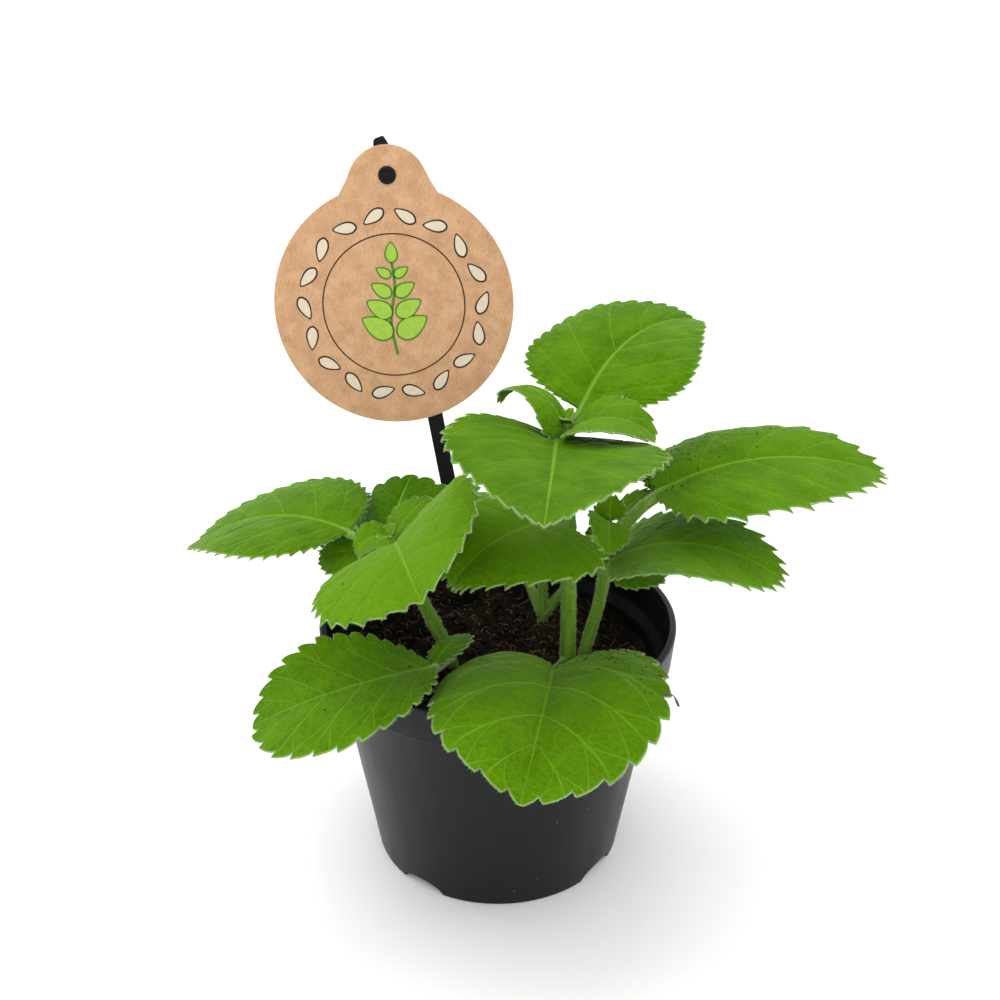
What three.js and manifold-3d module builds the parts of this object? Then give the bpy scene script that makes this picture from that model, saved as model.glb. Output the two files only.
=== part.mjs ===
// Potted Indian borage: four rooted cuttings in a low nursery pot, with a round card on a stake.
// Millimetres, +Z up, origin at the middle of the pot's underside, -Y is the front.
import * as THREE from 'three';
import { mergeVertices } from 'three/addons/utils/BufferGeometryUtils.js';
import Module from 'manifold-3d';

const wasm = await Module();
wasm.setup();

// Driving dimensions: pot
const RIM_RADIUS = 60;
const POT_HEIGHT = 88;
const FOOT_RADIUS = 43;
const RIM_LIP = 2.3;
const BAND_HEIGHT = 14;
const BAND_STEP = 3.6;
const WALL = 1.3;
const FLOOR_TOP = 4.6;
const FOOT_HEIGHT = 3;
const NOTCH_COUNT = 4;
const NOTCH_WIDTH = 17;
const NOTCH_HEIGHT = 4.4;
const NOTCH_FIRST_ANGLE = -37;
const DRAIN_COUNT = 8;
const DRAIN_RADIUS = 3.5;
const DRAIN_RING = 27;
const POT_SIDES = 40;

// Driving dimensions: soil
const SOIL_LEVEL = 72;
const SOIL_GAP = 0.4;
const HOLE_GAP = 0.35;

// Driving dimensions: label
const STAKE_WIDTH = 5.4;
const STAKE_THICKNESS = 2;
const STAKE_FOOT = [-1.1, 32.1, 24];
const STAKE_LENGTH = 216.8;
const STAKE_LEAN_LEFT = 10.1;
const STAKE_LEAN_BACK = 8.1;
const CARD_RADIUS = 41;
const CARD_THICKNESS = 0.9;
const CARD_HOLE_ABOVE_CENTRE = 43.5;
const CARD_TAB_RADIUS = 13.6;
const CARD_TAB_ABOVE_CENTRE = 39.9;
const CARD_SHOULDER_ANGLE = 65.8;
const CARD_NECK_ANGLE = 24;
const CARD_TILT = -8.4;
const PEG_RADIUS = 2.6;
const PEG_HEIGHT = 204;

// Driving dimensions: leaves and stems
const BLADE_THICKNESS = 0.9;
const PETIOLE_RADIUS = 1.35;
const PETIOLE_SIDES = 5;
const TOOTH_DEPTH = 0.035;
const STEM_SIDES = 8;
const STEM_STEPS = 8;
const STEM_DEPTH = 24;

// Features smaller than this are closed up after solids are joined
const FINEST = 0.03;

const DEGREE = Math.PI / 180;
const UP = new THREE.Vector3(0, 0, 1);

const materials = {
  pot: new THREE.MeshStandardMaterial({ color: 0x26282a, roughness: 0.45, metalness: 0 }),
  soil: new THREE.MeshStandardMaterial({ color: 0x231810, roughness: 1, metalness: 0 }),
  stake: new THREE.MeshStandardMaterial({ color: 0x0c0c0d, roughness: 0.4, metalness: 0 }),
  card: new THREE.MeshStandardMaterial({ color: 0xc9976b, roughness: 0.9, metalness: 0 }),
  plant: new THREE.MeshStandardMaterial({ color: 0x4f8f1e, roughness: 0.7, metalness: 0 })
};

// Turns a closed geometry into a solid that can be joined and cut
function solidOf(geometry) {
  const bare = geometry.clone();
  bare.deleteAttribute('normal');
  bare.deleteAttribute('uv');
  const merged = mergeVertices(bare, 1e-4);
  return new wasm.Manifold(new wasm.Mesh({
    numProp: 3,
    vertProperties: new Float32Array(merged.attributes.position.array),
    triVerts: new Uint32Array(merged.index.array)
  }));
}

function geometryOf(solid) {
  const mesh = solid.getMesh();
  const geometry = new THREE.BufferGeometry();
  geometry.setAttribute('position', new THREE.BufferAttribute(mesh.vertProperties, 3));
  geometry.setIndex(new THREE.BufferAttribute(mesh.triVerts, 1));
  geometry.computeVertexNormals();
  return geometry;
}

function joinAll(solids) {
  return solids.reduce((whole, solid) => whole.add(solid));
}

function namedMesh(name, geometry, material) {
  const mesh = new THREE.Mesh(geometry, material);
  mesh.name = name;
  return mesh;
}

// Round rod along a smooth line through the points
function rod(points, radius, sides, steps) {
  const path = new THREE.CatmullRomCurve3(points.map((p) => new THREE.Vector3(...p)));
  const section = new THREE.Shape();
  for (let i = 0; i < sides; i++) {
    const angle = (i / sides) * 2 * Math.PI;
    const corner = [radius * Math.cos(angle), radius * Math.sin(angle)];
    if (i === 0) section.moveTo(...corner);
    else section.lineTo(...corner);
  }
  section.closePath();
  return solidOf(new THREE.ExtrudeGeometry(section, { steps, bevelEnabled: false, extrudePath: path }));
}

// Pot: one turned shell with a banded rim, foot notches and drain holes
function makePot() {
  const bandBottom = POT_HEIGHT - BAND_HEIGHT;
  const bandRadius = RIM_RADIUS - 1.2;
  const shoulder = bandRadius - BAND_STEP;
  const outline = [
    [0, 0], [7, 0], [8.5, FOOT_HEIGHT], [FOOT_RADIUS - 4.5, FOOT_HEIGHT], [FOOT_RADIUS - 3.2, 0],
    [FOOT_RADIUS - 0.5, 0], [FOOT_RADIUS, 0.6], [FOOT_RADIUS + 1.2, 8], [shoulder, bandBottom],
    [bandRadius, bandBottom + 0.6], [RIM_RADIUS, POT_HEIGHT - 0.7],
    [RIM_RADIUS - 0.6, POT_HEIGHT], [RIM_RADIUS - RIM_LIP, POT_HEIGHT],
    [bandRadius - RIM_LIP, bandBottom + 2], [shoulder - WALL, bandBottom - 2],
    [FOOT_RADIUS - 0.2, 9], [FOOT_RADIUS - 1.8, FLOOR_TOP], [0, FLOOR_TOP]
  ];
  const profile = outline.map(([radius, z]) => new THREE.Vector2(radius, z));
  let pot = solidOf(new THREE.LatheGeometry(profile, POT_SIDES).rotateX(Math.PI / 2));
  if (pot.volume() < 0) throw new Error('pot profile runs the wrong way');
  for (let i = 0; i < NOTCH_COUNT; i++) {
    const notch = new THREE.CylinderGeometry(NOTCH_WIDTH / 2, NOTCH_WIDTH / 2, 12, 16);
    notch.rotateZ(Math.PI / 2).scale(1, 1, NOTCH_HEIGHT / (NOTCH_WIDTH / 2));
    notch.translate(FOOT_RADIUS + 0.6, 0, 0);
    notch.rotateZ((NOTCH_FIRST_ANGLE + (i * 360) / NOTCH_COUNT) * DEGREE);
    pot = pot.subtract(solidOf(notch));
  }
  for (let i = 0; i < DRAIN_COUNT; i++) {
    const drain = new THREE.CylinderGeometry(DRAIN_RADIUS, DRAIN_RADIUS, 12, 12).rotateX(Math.PI / 2);
    const angle = ((i + 0.5) / DRAIN_COUNT) * 2 * Math.PI;
    drain.translate(DRAIN_RING * Math.cos(angle), DRAIN_RING * Math.sin(angle), FLOOR_TOP - 1);
    pot = pot.subtract(solidOf(drain));
  }
  return pot;
}

// Height of the uneven soil surface
function soilHeight(x, y) {
  const slope = -0.03 * x + 0.01 * y;
  const lumps = 0.9 * Math.sin(x * 0.16 + 0.8) * Math.cos(y * 0.19 - 0.4);
  const grain = 0.6 * Math.sin(x * 0.37 - y * 0.29);
  const hollow = -3 * Math.exp(-(((x - 38) / 12) ** 2) - ((y - 4) / 16) ** 2);
  return SOIL_LEVEL + slope + lumps + grain + hollow;
}

// Soil: fills the pot, its top made of rings of facets that follow soilHeight
function makeSoil() {
  const rings = 5;
  const sides = 32;
  const bottom = FLOOR_TOP + SOIL_GAP;
  const wallRadius = (z) => {
    const share = (z - 9) / (POT_HEIGHT - BAND_HEIGHT - 11);
    const low = FOOT_RADIUS - 0.2;
    const high = RIM_RADIUS - 1.2 - BAND_STEP - WALL;
    return low + (high - low) * share - SOIL_GAP - 0.2;
  };
  const positions = [];
  const index = [];
  const centreTop = positions.push([0, 0, soilHeight(0, 0)]) - 1;
  const ringStart = [];
  for (let r = 1; r <= rings; r++) {
    ringStart.push(positions.length);
    for (let s = 0; s < sides; s++) {
      const angle = (s / sides) * 2 * Math.PI;
      const radius = (wallRadius(SOIL_LEVEL - 2) * r) / rings;
      const [x, y] = [radius * Math.cos(angle), radius * Math.sin(angle)];
      positions.push([x, y, Math.min(soilHeight(x, y), SOIL_LEVEL + 1.5)]);
    }
  }
  for (const [z, inset] of [[9, 0], [bottom, 1.8]]) {
    ringStart.push(positions.length);
    for (let s = 0; s < sides; s++) {
      const angle = (s / sides) * 2 * Math.PI;
      const radius = wallRadius(9) - inset;
      positions.push([radius * Math.cos(angle), radius * Math.sin(angle), z]);
    }
  }
  const centreBottom = positions.push([0, 0, bottom]) - 1;
  for (let s = 0; s < sides; s++) {
    const next = (s + 1) % sides;
    index.push(centreTop, ringStart[0] + s, ringStart[0] + next);
    for (let r = 1; r < ringStart.length; r++) {
      const [a, b] = [ringStart[r - 1], ringStart[r]];
      index.push(a + s, b + s, b + next, a + s, b + next, a + next);
    }
    const last = ringStart[ringStart.length - 1];
    index.push(centreBottom, last + next, last + s);
  }
  const geometry = new THREE.BufferGeometry();
  geometry.setAttribute('position', new THREE.Float32BufferAttribute(positions.flat(), 3));
  geometry.setIndex(index);
  return solidOf(geometry);
}

// A point and its frame on the leaf's midrib, a given length from the base
function midribAt(leaf, distance) {
  const steps = 24;
  const point = new THREE.Vector3(...leaf.base);
  const direction = (share) => {
    const pitch = (leaf.rise - leaf.droop * (share + leaf.late * (share * share - share))) * DEGREE;
    const heading = (leaf.turn + leaf.bend * share) * DEGREE;
    const flat = Math.cos(pitch);
    return new THREE.Vector3(flat * Math.cos(heading), flat * Math.sin(heading), Math.sin(pitch));
  };
  const share = Math.max(distance, 0) / leaf.length;
  for (let i = 0; i < steps; i++) {
    point.addScaledVector(direction((share * (i + 0.5)) / steps), Math.max(distance, 0) / steps);
  }
  const along = direction(share);
  point.addScaledVector(along, Math.min(distance, 0));
  const heading = (leaf.turn + leaf.bend * share) * DEGREE;
  const level = new THREE.Vector3(-Math.sin(heading), Math.cos(heading), 0);
  const roll = (leaf.roll + leaf.twist * share) * DEGREE;
  const side = level.applyAxisAngle(along, roll);
  return { point, along, side, up: along.clone().cross(side) };
}

// A point on the bent blade, from its place on the flat leaf; lift moves it off the surface
function bladePoint(leaf, x, y, lift) {
  const frame = midribAt(leaf, x);
  const side = y > 0 ? 0 : 1;
  const width = Math.abs(y);
  const fold = leaf.fold[side] * DEGREE;
  const curl = (leaf.curl[side] * DEGREE * width) / (leaf.width / 2);
  const mean = (wave) => (wave(fold) + 4 * wave(fold - curl / 2) + wave(fold - curl)) / 6;
  const out = Math.sign(y) * width * mean(Math.cos) - Math.sign(y) * lift * Math.sin(fold - curl);
  const high = width * mean(Math.sin) + lift * Math.cos(fold - curl);
  return frame.point.addScaledVector(frame.side, out).addScaledVector(frame.up, high);
}

// Margin of the flat leaf: phi runs from 0 at the base to PI at the tip
function margin(leaf, phi) {
  const share = (1 - Math.cos(phi)) / 2;
  const lobe = (leaf.lobe * Math.sin(phi) * (1 + Math.cos(phi)) ** 2) / 4;
  const taper = 1 - leaf.point + 1.2 * leaf.point * Math.cos(phi / 2);
  return new THREE.Vector2(
    leaf.length * (share - lobe),
    (leaf.width / 2) * Math.sin(phi) * (1 + leaf.full * Math.cos(phi)) * taper
  );
}

// Margin with its rounded teeth: even places are the notches, odd places the teeth
function toothedMargin(leaf, place) {
  const spacing = Math.PI / (leaf.teeth + 0.5);
  const tooth = place % 2 === 1;
  const phi = Math.min((Math.floor(place / 2) + (tooth ? 0.62 : 0)) * spacing, Math.PI);
  const point = margin(leaf, phi);
  const outward = margin(leaf, phi + 0.01).sub(margin(leaf, phi - 0.01)).normalize();
  const depth = leaf.width * TOOTH_DEPTH * Math.min(1, phi / 0.4) * (tooth ? 0.5 : -0.5);
  return point.add(new THREE.Vector2(-outward.y, outward.x).multiplyScalar(depth));
}

// Blade: two faces with the same triangles, closed by a rim
function makeBlade(leaf) {
  const places = 2 * leaf.teeth + 1;
  const rows = leaf.rows;
  const positions = [];
  const index = [];
  const half = BLADE_THICKNESS / 2;
  const put = (x, y) => {
    positions.push(bladePoint(leaf, x, y, half), bladePoint(leaf, x, y, -half));
    return positions.length / 2 - 1;
  };
  const base = put(0, 0);
  const tip = put(leaf.length, 0);
  const midrib = [];
  for (let k = 1; k <= places - 1; k++) {
    const share = (1 - Math.cos((k / places) * Math.PI)) / 2;
    midrib.push(put(leaf.length * share ** 1.6, 0));
  }
  const triangle = (a, b, c) => {
    index.push(2 * a, 2 * b, 2 * c, 2 * a + 1, 2 * c + 1, 2 * b + 1);
  };
  const edge = (a, b) => {
    index.push(2 * a, 2 * b, 2 * b + 1, 2 * a, 2 * b + 1, 2 * a + 1);
  };
  for (const sign of [1, -1]) {
    const facing = (a, b, c) => (sign > 0 ? triangle(a, b, c) : triangle(a, c, b));
    const lines = midrib.map((start, i) => {
      const rim = toothedMargin(leaf, i + 1);
      const share = (1 - Math.cos(((i + 1) / places) * Math.PI)) / 2;
      const from = leaf.length * share ** 1.6;
      const line = [start];
      for (let r = 1; r <= rows; r++) {
        const v = r / rows;
        line.push(put(from + (rim.x - from) * v, sign * rim.y * v));
      }
      return line;
    });
    for (let r = 0; r < rows; r++) {
      facing(base, lines[0][r], lines[0][r + 1]);
      facing(lines[lines.length - 1][r], tip, lines[lines.length - 1][r + 1]);
      for (let i = 0; i + 1 < lines.length; i++) {
        const [a, b, c, d] = [lines[i][r], lines[i + 1][r], lines[i + 1][r + 1], lines[i][r + 1]];
        facing(a, b, c);
        facing(a, c, d);
      }
    }
    const rim = [base, ...lines.map((line) => line[rows]), tip];
    for (let i = 0; i + 1 < rim.length; i++) {
      if (sign > 0) edge(rim[i], rim[i + 1]);
      else edge(rim[i + 1], rim[i]);
    }
  }
  const geometry = new THREE.BufferGeometry();
  const flat = positions.flatMap((p) => [p.x, p.y, p.z]);
  geometry.setAttribute('position', new THREE.Float32BufferAttribute(flat, 3));
  geometry.setIndex(index);
  return solidOf(geometry);
}

// Leaf stalk: from inside the stem to the blade, then on under the midrib
function makePetiole(leaf) {
  const radius = PETIOLE_RADIUS * leaf.stalk;
  const below = -radius * 0.55;
  const under = [0, 0.1, 0.22].map((share) => bladePoint(leaf, leaf.length * share, 0, below).toArray());
  const start = new THREE.Vector3(...leaf.from);
  const sag = start.clone().lerp(new THREE.Vector3(...under[0]), 0.55).addScaledVector(UP, leaf.arch);
  return rod([leaf.from, sag.toArray(), ...under], radius, PETIOLE_SIDES, 5);
}

// Leaf settings, angles in degrees: turn and rise set the midrib's heading and slope at the base, droop and
// bend its fall and side turn along the leaf, late moves the fall towards the tip, roll and twist tip the blade
// about the midrib, fold and curl are the slope and roll-down of the left and right halves
const leafDefaults = {
  droop: 30, bend: 0, roll: 0, twist: 0, fold: [8, 8], curl: [20, 20],
  full: 0.2, point: 0.25, lobe: 0.08, late: 0, teeth: 9, rows: 2, stalk: 1, arch: 0
};
const youngLeaf = { teeth: 6, rows: 1, stalk: 0.7 };
const budLeaf = { teeth: 2, rows: 1, stalk: 0.5, point: 0.4, lobe: 0, fold: [25, 25], curl: [10, 10] };

// Each cutting: its stem line from under the soil to the growing tip, and its leaves
const cuttings = {
  cutting_left: {
    stem: [
      [-15, -6, SOIL_LEVEL - STEM_DEPTH], [-15.5, -7, SOIL_LEVEL],
      [-24, -8, 96], [-34, -8, 116], [-36, -7, 121]
    ],
    radius: 2.2,
    leaves: [
      // Far left leaf
      { from: [-34, -8, 115], base: [-49, -1, 120], turn: 152, rise: 12, droop: 49, bend: 6, roll: -4,
        length: 66, width: 58, fold: [9, 10], curl: [14, 22], full: 0.26, lobe: 0.01, late: -0.36 },
      // Front leaf, rolled to the left
      { from: [-34, -8, 117], base: [-33, -14, 121], turn: -83, rise: 43, droop: 51, bend: 12, roll: 29, twist: 4,
        length: 52, width: 61, fold: [17, 12], curl: [10, 21], full: -0.02, point: -0.05, lobe: 0.09, late: -0.94 },
      // Upright leaf at the back
      { from: [-34, -7, 114], base: [-37, 4, 114], turn: 65, rise: 49, droop: 23, bend: 5, roll: -19, twist: 12,
        length: 25, width: 48, fold: [-2, 3], curl: [40, 17], full: 0.17, point: 0.09, teeth: 8 },
      // Low leaf over the rim
      { from: [-16, -8, 76], base: [-20, -37, 91], turn: 201, rise: 0, droop: 28, bend: -15, roll: 11, twist: -13,
        length: 58, width: 52, fold: [3, 0], curl: [14, -20], full: 0.12, point: -0.4, lobe: -0.04, late: 0.3 },
      // Crumpled lobe at the foot of the low leaf
      { ...youngLeaf, from: [-20, -34, 89], base: [-20, -34, 89.5], turn: 62, rise: 22, droop: 36, roll: -16,
        length: 19, width: 13, full: -0.2, lobe: 0, fold: [5, 5] },
      // Low leaf at the back
      { from: [-30, -8, 108], base: [-39, 9, 103], turn: 112, rise: 8, droop: 30, length: 44, width: 34, teeth: 8 },
      { ...youngLeaf, from: [-34, -8, 114], base: [-43, -2, 113], turn: 164, rise: -1, droop: 31, roll: -8,
        twist: -20, length: 18, width: 22 },
      { ...youngLeaf, from: [-35, -7, 118], base: [-34, -2, 116], turn: 35, rise: 68, droop: 57, bend: 8,
        roll: -13, twist: 7, length: 20, width: 19, fold: [3, 6], curl: [0, 14] },
      { ...youngLeaf, from: [-36, -7, 119], base: [-34, -8, 120], turn: 202, rise: 52, droop: 130,
        length: 15, width: 17, fold: [10, 10], curl: [12, 0], rows: 2 },
      { ...budLeaf, from: [-36, -7, 120], base: [-36, -8, 121], turn: 250, rise: 40, length: 5, width: 4 },
      { ...budLeaf, from: [-36, -7, 120], base: [-36, -6, 121], turn: 70, rise: 40, length: 5, width: 4 }
    ]
  },
  cutting_tall: {
    stem: [
      [23.5, -7, SOIL_LEVEL - STEM_DEPTH], [23.5, -8, SOIL_LEVEL],
      [23, -9, 110], [21.5, -9, 150], [21.5, -9, 162]
    ],
    radius: 2.45,
    leaves: [
      // Low leaf over the front of the rim
      { from: [23, -9, 76], base: [19, -17, 78], turn: -95, rise: 33, droop: 49, bend: -8, twist: -14,
        length: 82, width: 70, fold: [31, 31], curl: [37, 76], point: -0.4, late: -0.45, teeth: 10 },
      // Top leaf, rising to the back
      { from: [22, -8, 157], base: [26, -1, 163], turn: 65, rise: 32, droop: 47, bend: -26, roll: 11, twist: -3,
        length: 71, width: 53, fold: [17, 14], curl: [43, 16], full: 0.38, point: 0.18, lobe: -0.04, late: 0.2 },
      // Top leaf, towards the front
      { from: [21.5, -9, 156], base: [18, -15, 159], turn: -94, rise: 9, droop: 12, bend: -2, roll: -10, twist: 12,
        length: 66, width: 65, fold: [17, 19], curl: [19, 26], full: 0.23, point: 0.38 },
      // Middle leaf, front left
      { from: [22.5, -9, 126], base: [15, -16, 131], turn: -143, rise: 5, droop: 66, bend: -8, twist: -10,
        length: 39, width: 65, fold: [11, 12], curl: [17, 30], full: 0.4, point: 0.6, lobe: 0.13, late: 0.65 },
      { ...youngLeaf, from: [21.5, -9, 159], base: [20, -11, 160], turn: 158, rise: 72, droop: 150, bend: 8,
        roll: 5, twist: 18, length: 29, width: 24, fold: [7, 5], curl: [35, 22], full: 0.37, point: 0.5,
        late: 0.8, rows: 2 },
      { ...youngLeaf, from: [21.5, -9, 159], base: [22, -13.5, 160.5], turn: -10, rise: 45, droop: 91, roll: -9,
        twist: 14, length: 29, width: 32, curl: [0, 5], rows: 2 },
      { ...budLeaf, from: [21.5, -9, 161], base: [21, -8.5, 162], turn: 60, rise: 50, length: 5, width: 4 },
      { ...budLeaf, from: [21.5, -9, 161], base: [21.5, -10, 162], turn: 240, rise: 50, length: 4.5, width: 4 }
    ]
  },
  cutting_right: {
    stem: [
      [28, -4, SOIL_LEVEL - STEM_DEPTH], [28.8, -4, SOIL_LEVEL],
      [34, -3, 96], [35, -5, 114], [35, -6, 126]
    ],
    radius: 1.9,
    leaves: [
      // Long upper leaf
      { from: [35, -5, 115], base: [51, 0, 133], turn: 17, rise: 26, droop: 48, bend: -10, roll: 5, twist: 13,
        length: 82, width: 64, fold: [9, 8], curl: [50, 11], full: 0.12, point: 0.6, late: -0.26, arch: 2,
        stalk: 1.4 },
      // Lower leaf
      { from: [35, -4, 108], base: [37, -8, 113], turn: -7, rise: 38, droop: 68, bend: -11, twist: 8,
        length: 58, width: 52, fold: [-1, -1], curl: [7, -20], point: 0.16, late: -0.37 },
      { ...youngLeaf, from: [35, -3, 104], base: [38, 2, 105], turn: -10, rise: 1, droop: 22, roll: 9,
        length: 18, width: 19 },
      { ...youngLeaf, from: [35, -6, 123], base: [36, -6, 127], turn: 84, rise: 69, droop: 42, length: 8,
        width: 10, teeth: 4 },
      { ...youngLeaf, from: [35, -6, 124], base: [35, -10, 128], turn: -92, rise: 17, droop: 67, roll: -20,
        length: 15, width: 15, fold: [11, 17], curl: [15, 3] },
      { ...youngLeaf, from: [35, -4, 118], base: [40, 2, 122.5], turn: 25, rise: 57, droop: 36, length: 14,
        width: 12, teeth: 5 },
      { ...budLeaf, from: [35, -6, 124], base: [34, -7, 126], turn: 200, rise: 60, length: 7, width: 5 },
      { ...budLeaf, from: [35, -6, 124], base: [33.5, -8, 124], turn: 220, rise: 20, length: 7, width: 5 }
    ]
  },
  cutting_back: {
    stem: [[16, 25, SOIL_LEVEL - STEM_DEPTH], [16, 25, SOIL_LEVEL], [16, 27, 84], [16.5, 30, 99]],
    radius: 1.7,
    leaves: [
      { from: [16, 25, 73], base: [5, 42, 94], turn: 94, rise: 18, droop: 42, length: 42, width: 30, teeth: 8,
        stalk: 1.15 },
      { from: [16, 25, 73], base: [31, 36, 88], turn: 28, rise: 22, droop: 50, length: 50, width: 30, teeth: 8,
        stalk: 1.15 },
      { ...youngLeaf, from: [16.5, 30, 97], base: [16, 33, 100], turn: 100, rise: 25, droop: 50, length: 13,
        width: 11 },
      { ...youngLeaf, from: [16.5, 30, 98], base: [16, 27, 100], turn: 265, rise: 15, droop: 50, length: 11,
        width: 10 }
    ]
  }
};

// One cutting as one solid: stem, stalks and blades grown together, with no pocket left inside
function makeCutting(cutting) {
  const pieces = [rod(cutting.stem, cutting.radius, STEM_SIDES, STEM_STEPS)];
  for (const given of cutting.leaves) {
    const leaf = { ...leafDefaults, ...given };
    pieces.push(makePetiole(leaf), makeBlade(leaf));
  }
  const bodies = joinAll(pieces).simplify(FINEST).decompose();
  return bodies.reduce((largest, body) => (body.volume() > largest.volume() ? body : largest));
}

// Stake: a flat strip with a pointed foot, an angled top and a peg for the card
function makeStake() {
  const half = STAKE_WIDTH / 2;
  const outline = new THREE.Shape([
    new THREE.Vector2(0, 0), new THREE.Vector2(half, 10), new THREE.Vector2(half, STAKE_LENGTH - 4),
    new THREE.Vector2(half * 0.4, STAKE_LENGTH), new THREE.Vector2(-half * 0.8, STAKE_LENGTH - 0.6),
    new THREE.Vector2(-half, STAKE_LENGTH - 2), new THREE.Vector2(-half, 10)
  ]);
  const strip = new THREE.ExtrudeGeometry(outline, { depth: STAKE_THICKNESS, bevelEnabled: false });
  const rib = new THREE.BoxGeometry(1.4, STAKE_LENGTH - 30, 1.4).translate(0, STAKE_LENGTH / 2 - 5, -0.5);
  const pegLength = CARD_THICKNESS + 2.2;
  const peg = new THREE.CylinderGeometry(PEG_RADIUS, PEG_RADIUS, pegLength, 20).rotateX(Math.PI / 2);
  peg.translate(0, PEG_HEIGHT, STAKE_THICKNESS + pegLength / 2 - 0.5);
  return joinAll([strip, rib, peg].map(solidOf));
}

// Card: a disc with a small tab above it, and the hole that hangs on the peg
function makeCard() {
  const card = new THREE.Shape();
  const flare = CARD_SHOULDER_ANGLE * DEGREE;
  const shoulder = [CARD_RADIUS * Math.cos(flare), CARD_RADIUS * Math.sin(flare)];
  const neckAngle = CARD_NECK_ANGLE * DEGREE;
  const neck = [CARD_TAB_RADIUS * Math.cos(neckAngle), CARD_TAB_ABOVE_CENTRE + CARD_TAB_RADIUS * Math.sin(neckAngle)];
  card.moveTo(-shoulder[0], shoulder[1]);
  card.absarc(0, 0, CARD_RADIUS, Math.PI - flare, 2 * Math.PI + flare, false);
  card.quadraticCurveTo(neck[0] + 2.2, shoulder[1] + 3.2, ...neck);
  card.absarc(0, CARD_TAB_ABOVE_CENTRE, CARD_TAB_RADIUS, neckAngle, Math.PI - neckAngle, false);
  card.quadraticCurveTo(-neck[0] - 2.2, shoulder[1] + 3.2, -shoulder[0], shoulder[1]);
  const hole = new THREE.Path();
  hole.absarc(0, CARD_HOLE_ABOVE_CENTRE, PEG_RADIUS + 0.35, 0, 2 * Math.PI, true);
  card.holes.push(hole);
  return new THREE.ExtrudeGeometry(card, { depth: CARD_THICKNESS, bevelEnabled: false, curveSegments: 22 });
}

// The label stands in its own frame: Y up the stake, Z out of its front face
function makeLabel(stakeSolid) {
  const label = new THREE.Group();
  label.position.set(...STAKE_FOOT);
  label.rotation.set((90 - STAKE_LEAN_BACK) * DEGREE, 0, STAKE_LEAN_LEFT * DEGREE, 'XYZ');
  label.add(namedMesh('label_stake', geometryOf(stakeSolid), materials.stake));
  const card = namedMesh('label_card', makeCard(), materials.card);
  const tilt = CARD_TILT * DEGREE;
  card.rotation.z = tilt;
  card.position.set(
    CARD_HOLE_ABOVE_CENTRE * Math.sin(tilt),
    PEG_HEIGHT - CARD_HOLE_ABOVE_CENTRE * Math.cos(tilt),
    STAKE_THICKNESS + 0.35
  );
  label.add(card);
  label.updateMatrixWorld(true);
  return label;
}

const stake = makeStake();
const label = makeLabel(stake);

// Plain hole for the stake, a little wider than it
function stakeHole() {
  const slot = new THREE.BoxGeometry(STAKE_WIDTH + 2 * HOLE_GAP, 90, STAKE_THICKNESS + 2.4);
  slot.translate(0, 44, STAKE_THICKNESS / 2 - 0.3);
  slot.applyMatrix4(label.children[0].matrixWorld);
  return solidOf(slot);
}

let soil = makeSoil();
for (const { stem, radius } of Object.values(cuttings)) {
  soil = soil.subtract(rod(stem, radius + HOLE_GAP, STEM_SIDES, STEM_STEPS));
}
soil = soil.subtract(stakeHole());

const group = new THREE.Group();
group.add(namedMesh('pot', geometryOf(makePot()), materials.pot));
group.add(label);
for (const [name, cutting] of Object.entries(cuttings)) {
  group.add(namedMesh(name, geometryOf(makeCutting(cutting)), materials.plant));
}
group.add(namedMesh('soil', geometryOf(soil), materials.soil));

export default group;
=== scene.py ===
# Potted Indian borage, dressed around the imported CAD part.
# Metres, +Z up, the pot stands on z = 0 and its front faces -Y. Helper code works in millimetres.
import math
import bmesh
import bpy
import numpy as np
from mathutils.bvhtree import BVHTree
from mathutils.geometry import tessellate_polygon
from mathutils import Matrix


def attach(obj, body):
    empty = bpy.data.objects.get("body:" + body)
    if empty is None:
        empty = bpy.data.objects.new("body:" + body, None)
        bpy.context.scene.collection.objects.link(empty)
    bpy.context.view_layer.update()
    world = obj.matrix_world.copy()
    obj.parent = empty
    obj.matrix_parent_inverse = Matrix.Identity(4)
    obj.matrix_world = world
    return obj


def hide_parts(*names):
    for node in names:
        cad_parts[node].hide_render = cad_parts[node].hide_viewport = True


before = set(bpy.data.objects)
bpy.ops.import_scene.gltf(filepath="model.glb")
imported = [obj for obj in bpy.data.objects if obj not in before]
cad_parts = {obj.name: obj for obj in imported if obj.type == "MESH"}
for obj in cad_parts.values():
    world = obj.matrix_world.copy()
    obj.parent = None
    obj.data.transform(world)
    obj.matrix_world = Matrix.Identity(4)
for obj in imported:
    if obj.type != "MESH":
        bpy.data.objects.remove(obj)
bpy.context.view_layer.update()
mm = 0.001


# Random field between -1 and 1, smooth over the given size in mm
def softNoise(points, size, seed=0):
    spot = np.asarray(points, float) / size
    cell = np.floor(spot).astype(np.int64)
    part = spot - cell
    part = part * part * (3 - 2 * part)
    total = np.zeros(len(spot))
    for corner in range(8):
        shift = np.array([corner & 1, corner >> 1 & 1, corner >> 2 & 1])
        at = cell + shift
        code = at[:, 0] * 73856093 ^ at[:, 1] * 19349663 ^ at[:, 2] * 83492791 ^ (seed * 2654435 + 97)
        code = (code ^ (code >> 13)) * 1274126177 & 0x7FFFFFFF
        code = (code ^ (code >> 15)) * 668265263 & 0x7FFFFFFF
        height = (code >> 7 & 0xFFFF) / 32767.5 - 1
        share = np.where(shift, part, 1 - part).prod(axis=1)
        total += height * share
    return total


# Rows of vectors scaled to length 1
def unit(rows):
    return rows / np.maximum(np.linalg.norm(rows, axis=1), 1e-9)[:, None]


# Flat directions turned a quarter to the left
def leftOf(ahead):
    return np.stack([-ahead[:, 1], ahead[:, 0]], -1)


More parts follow.
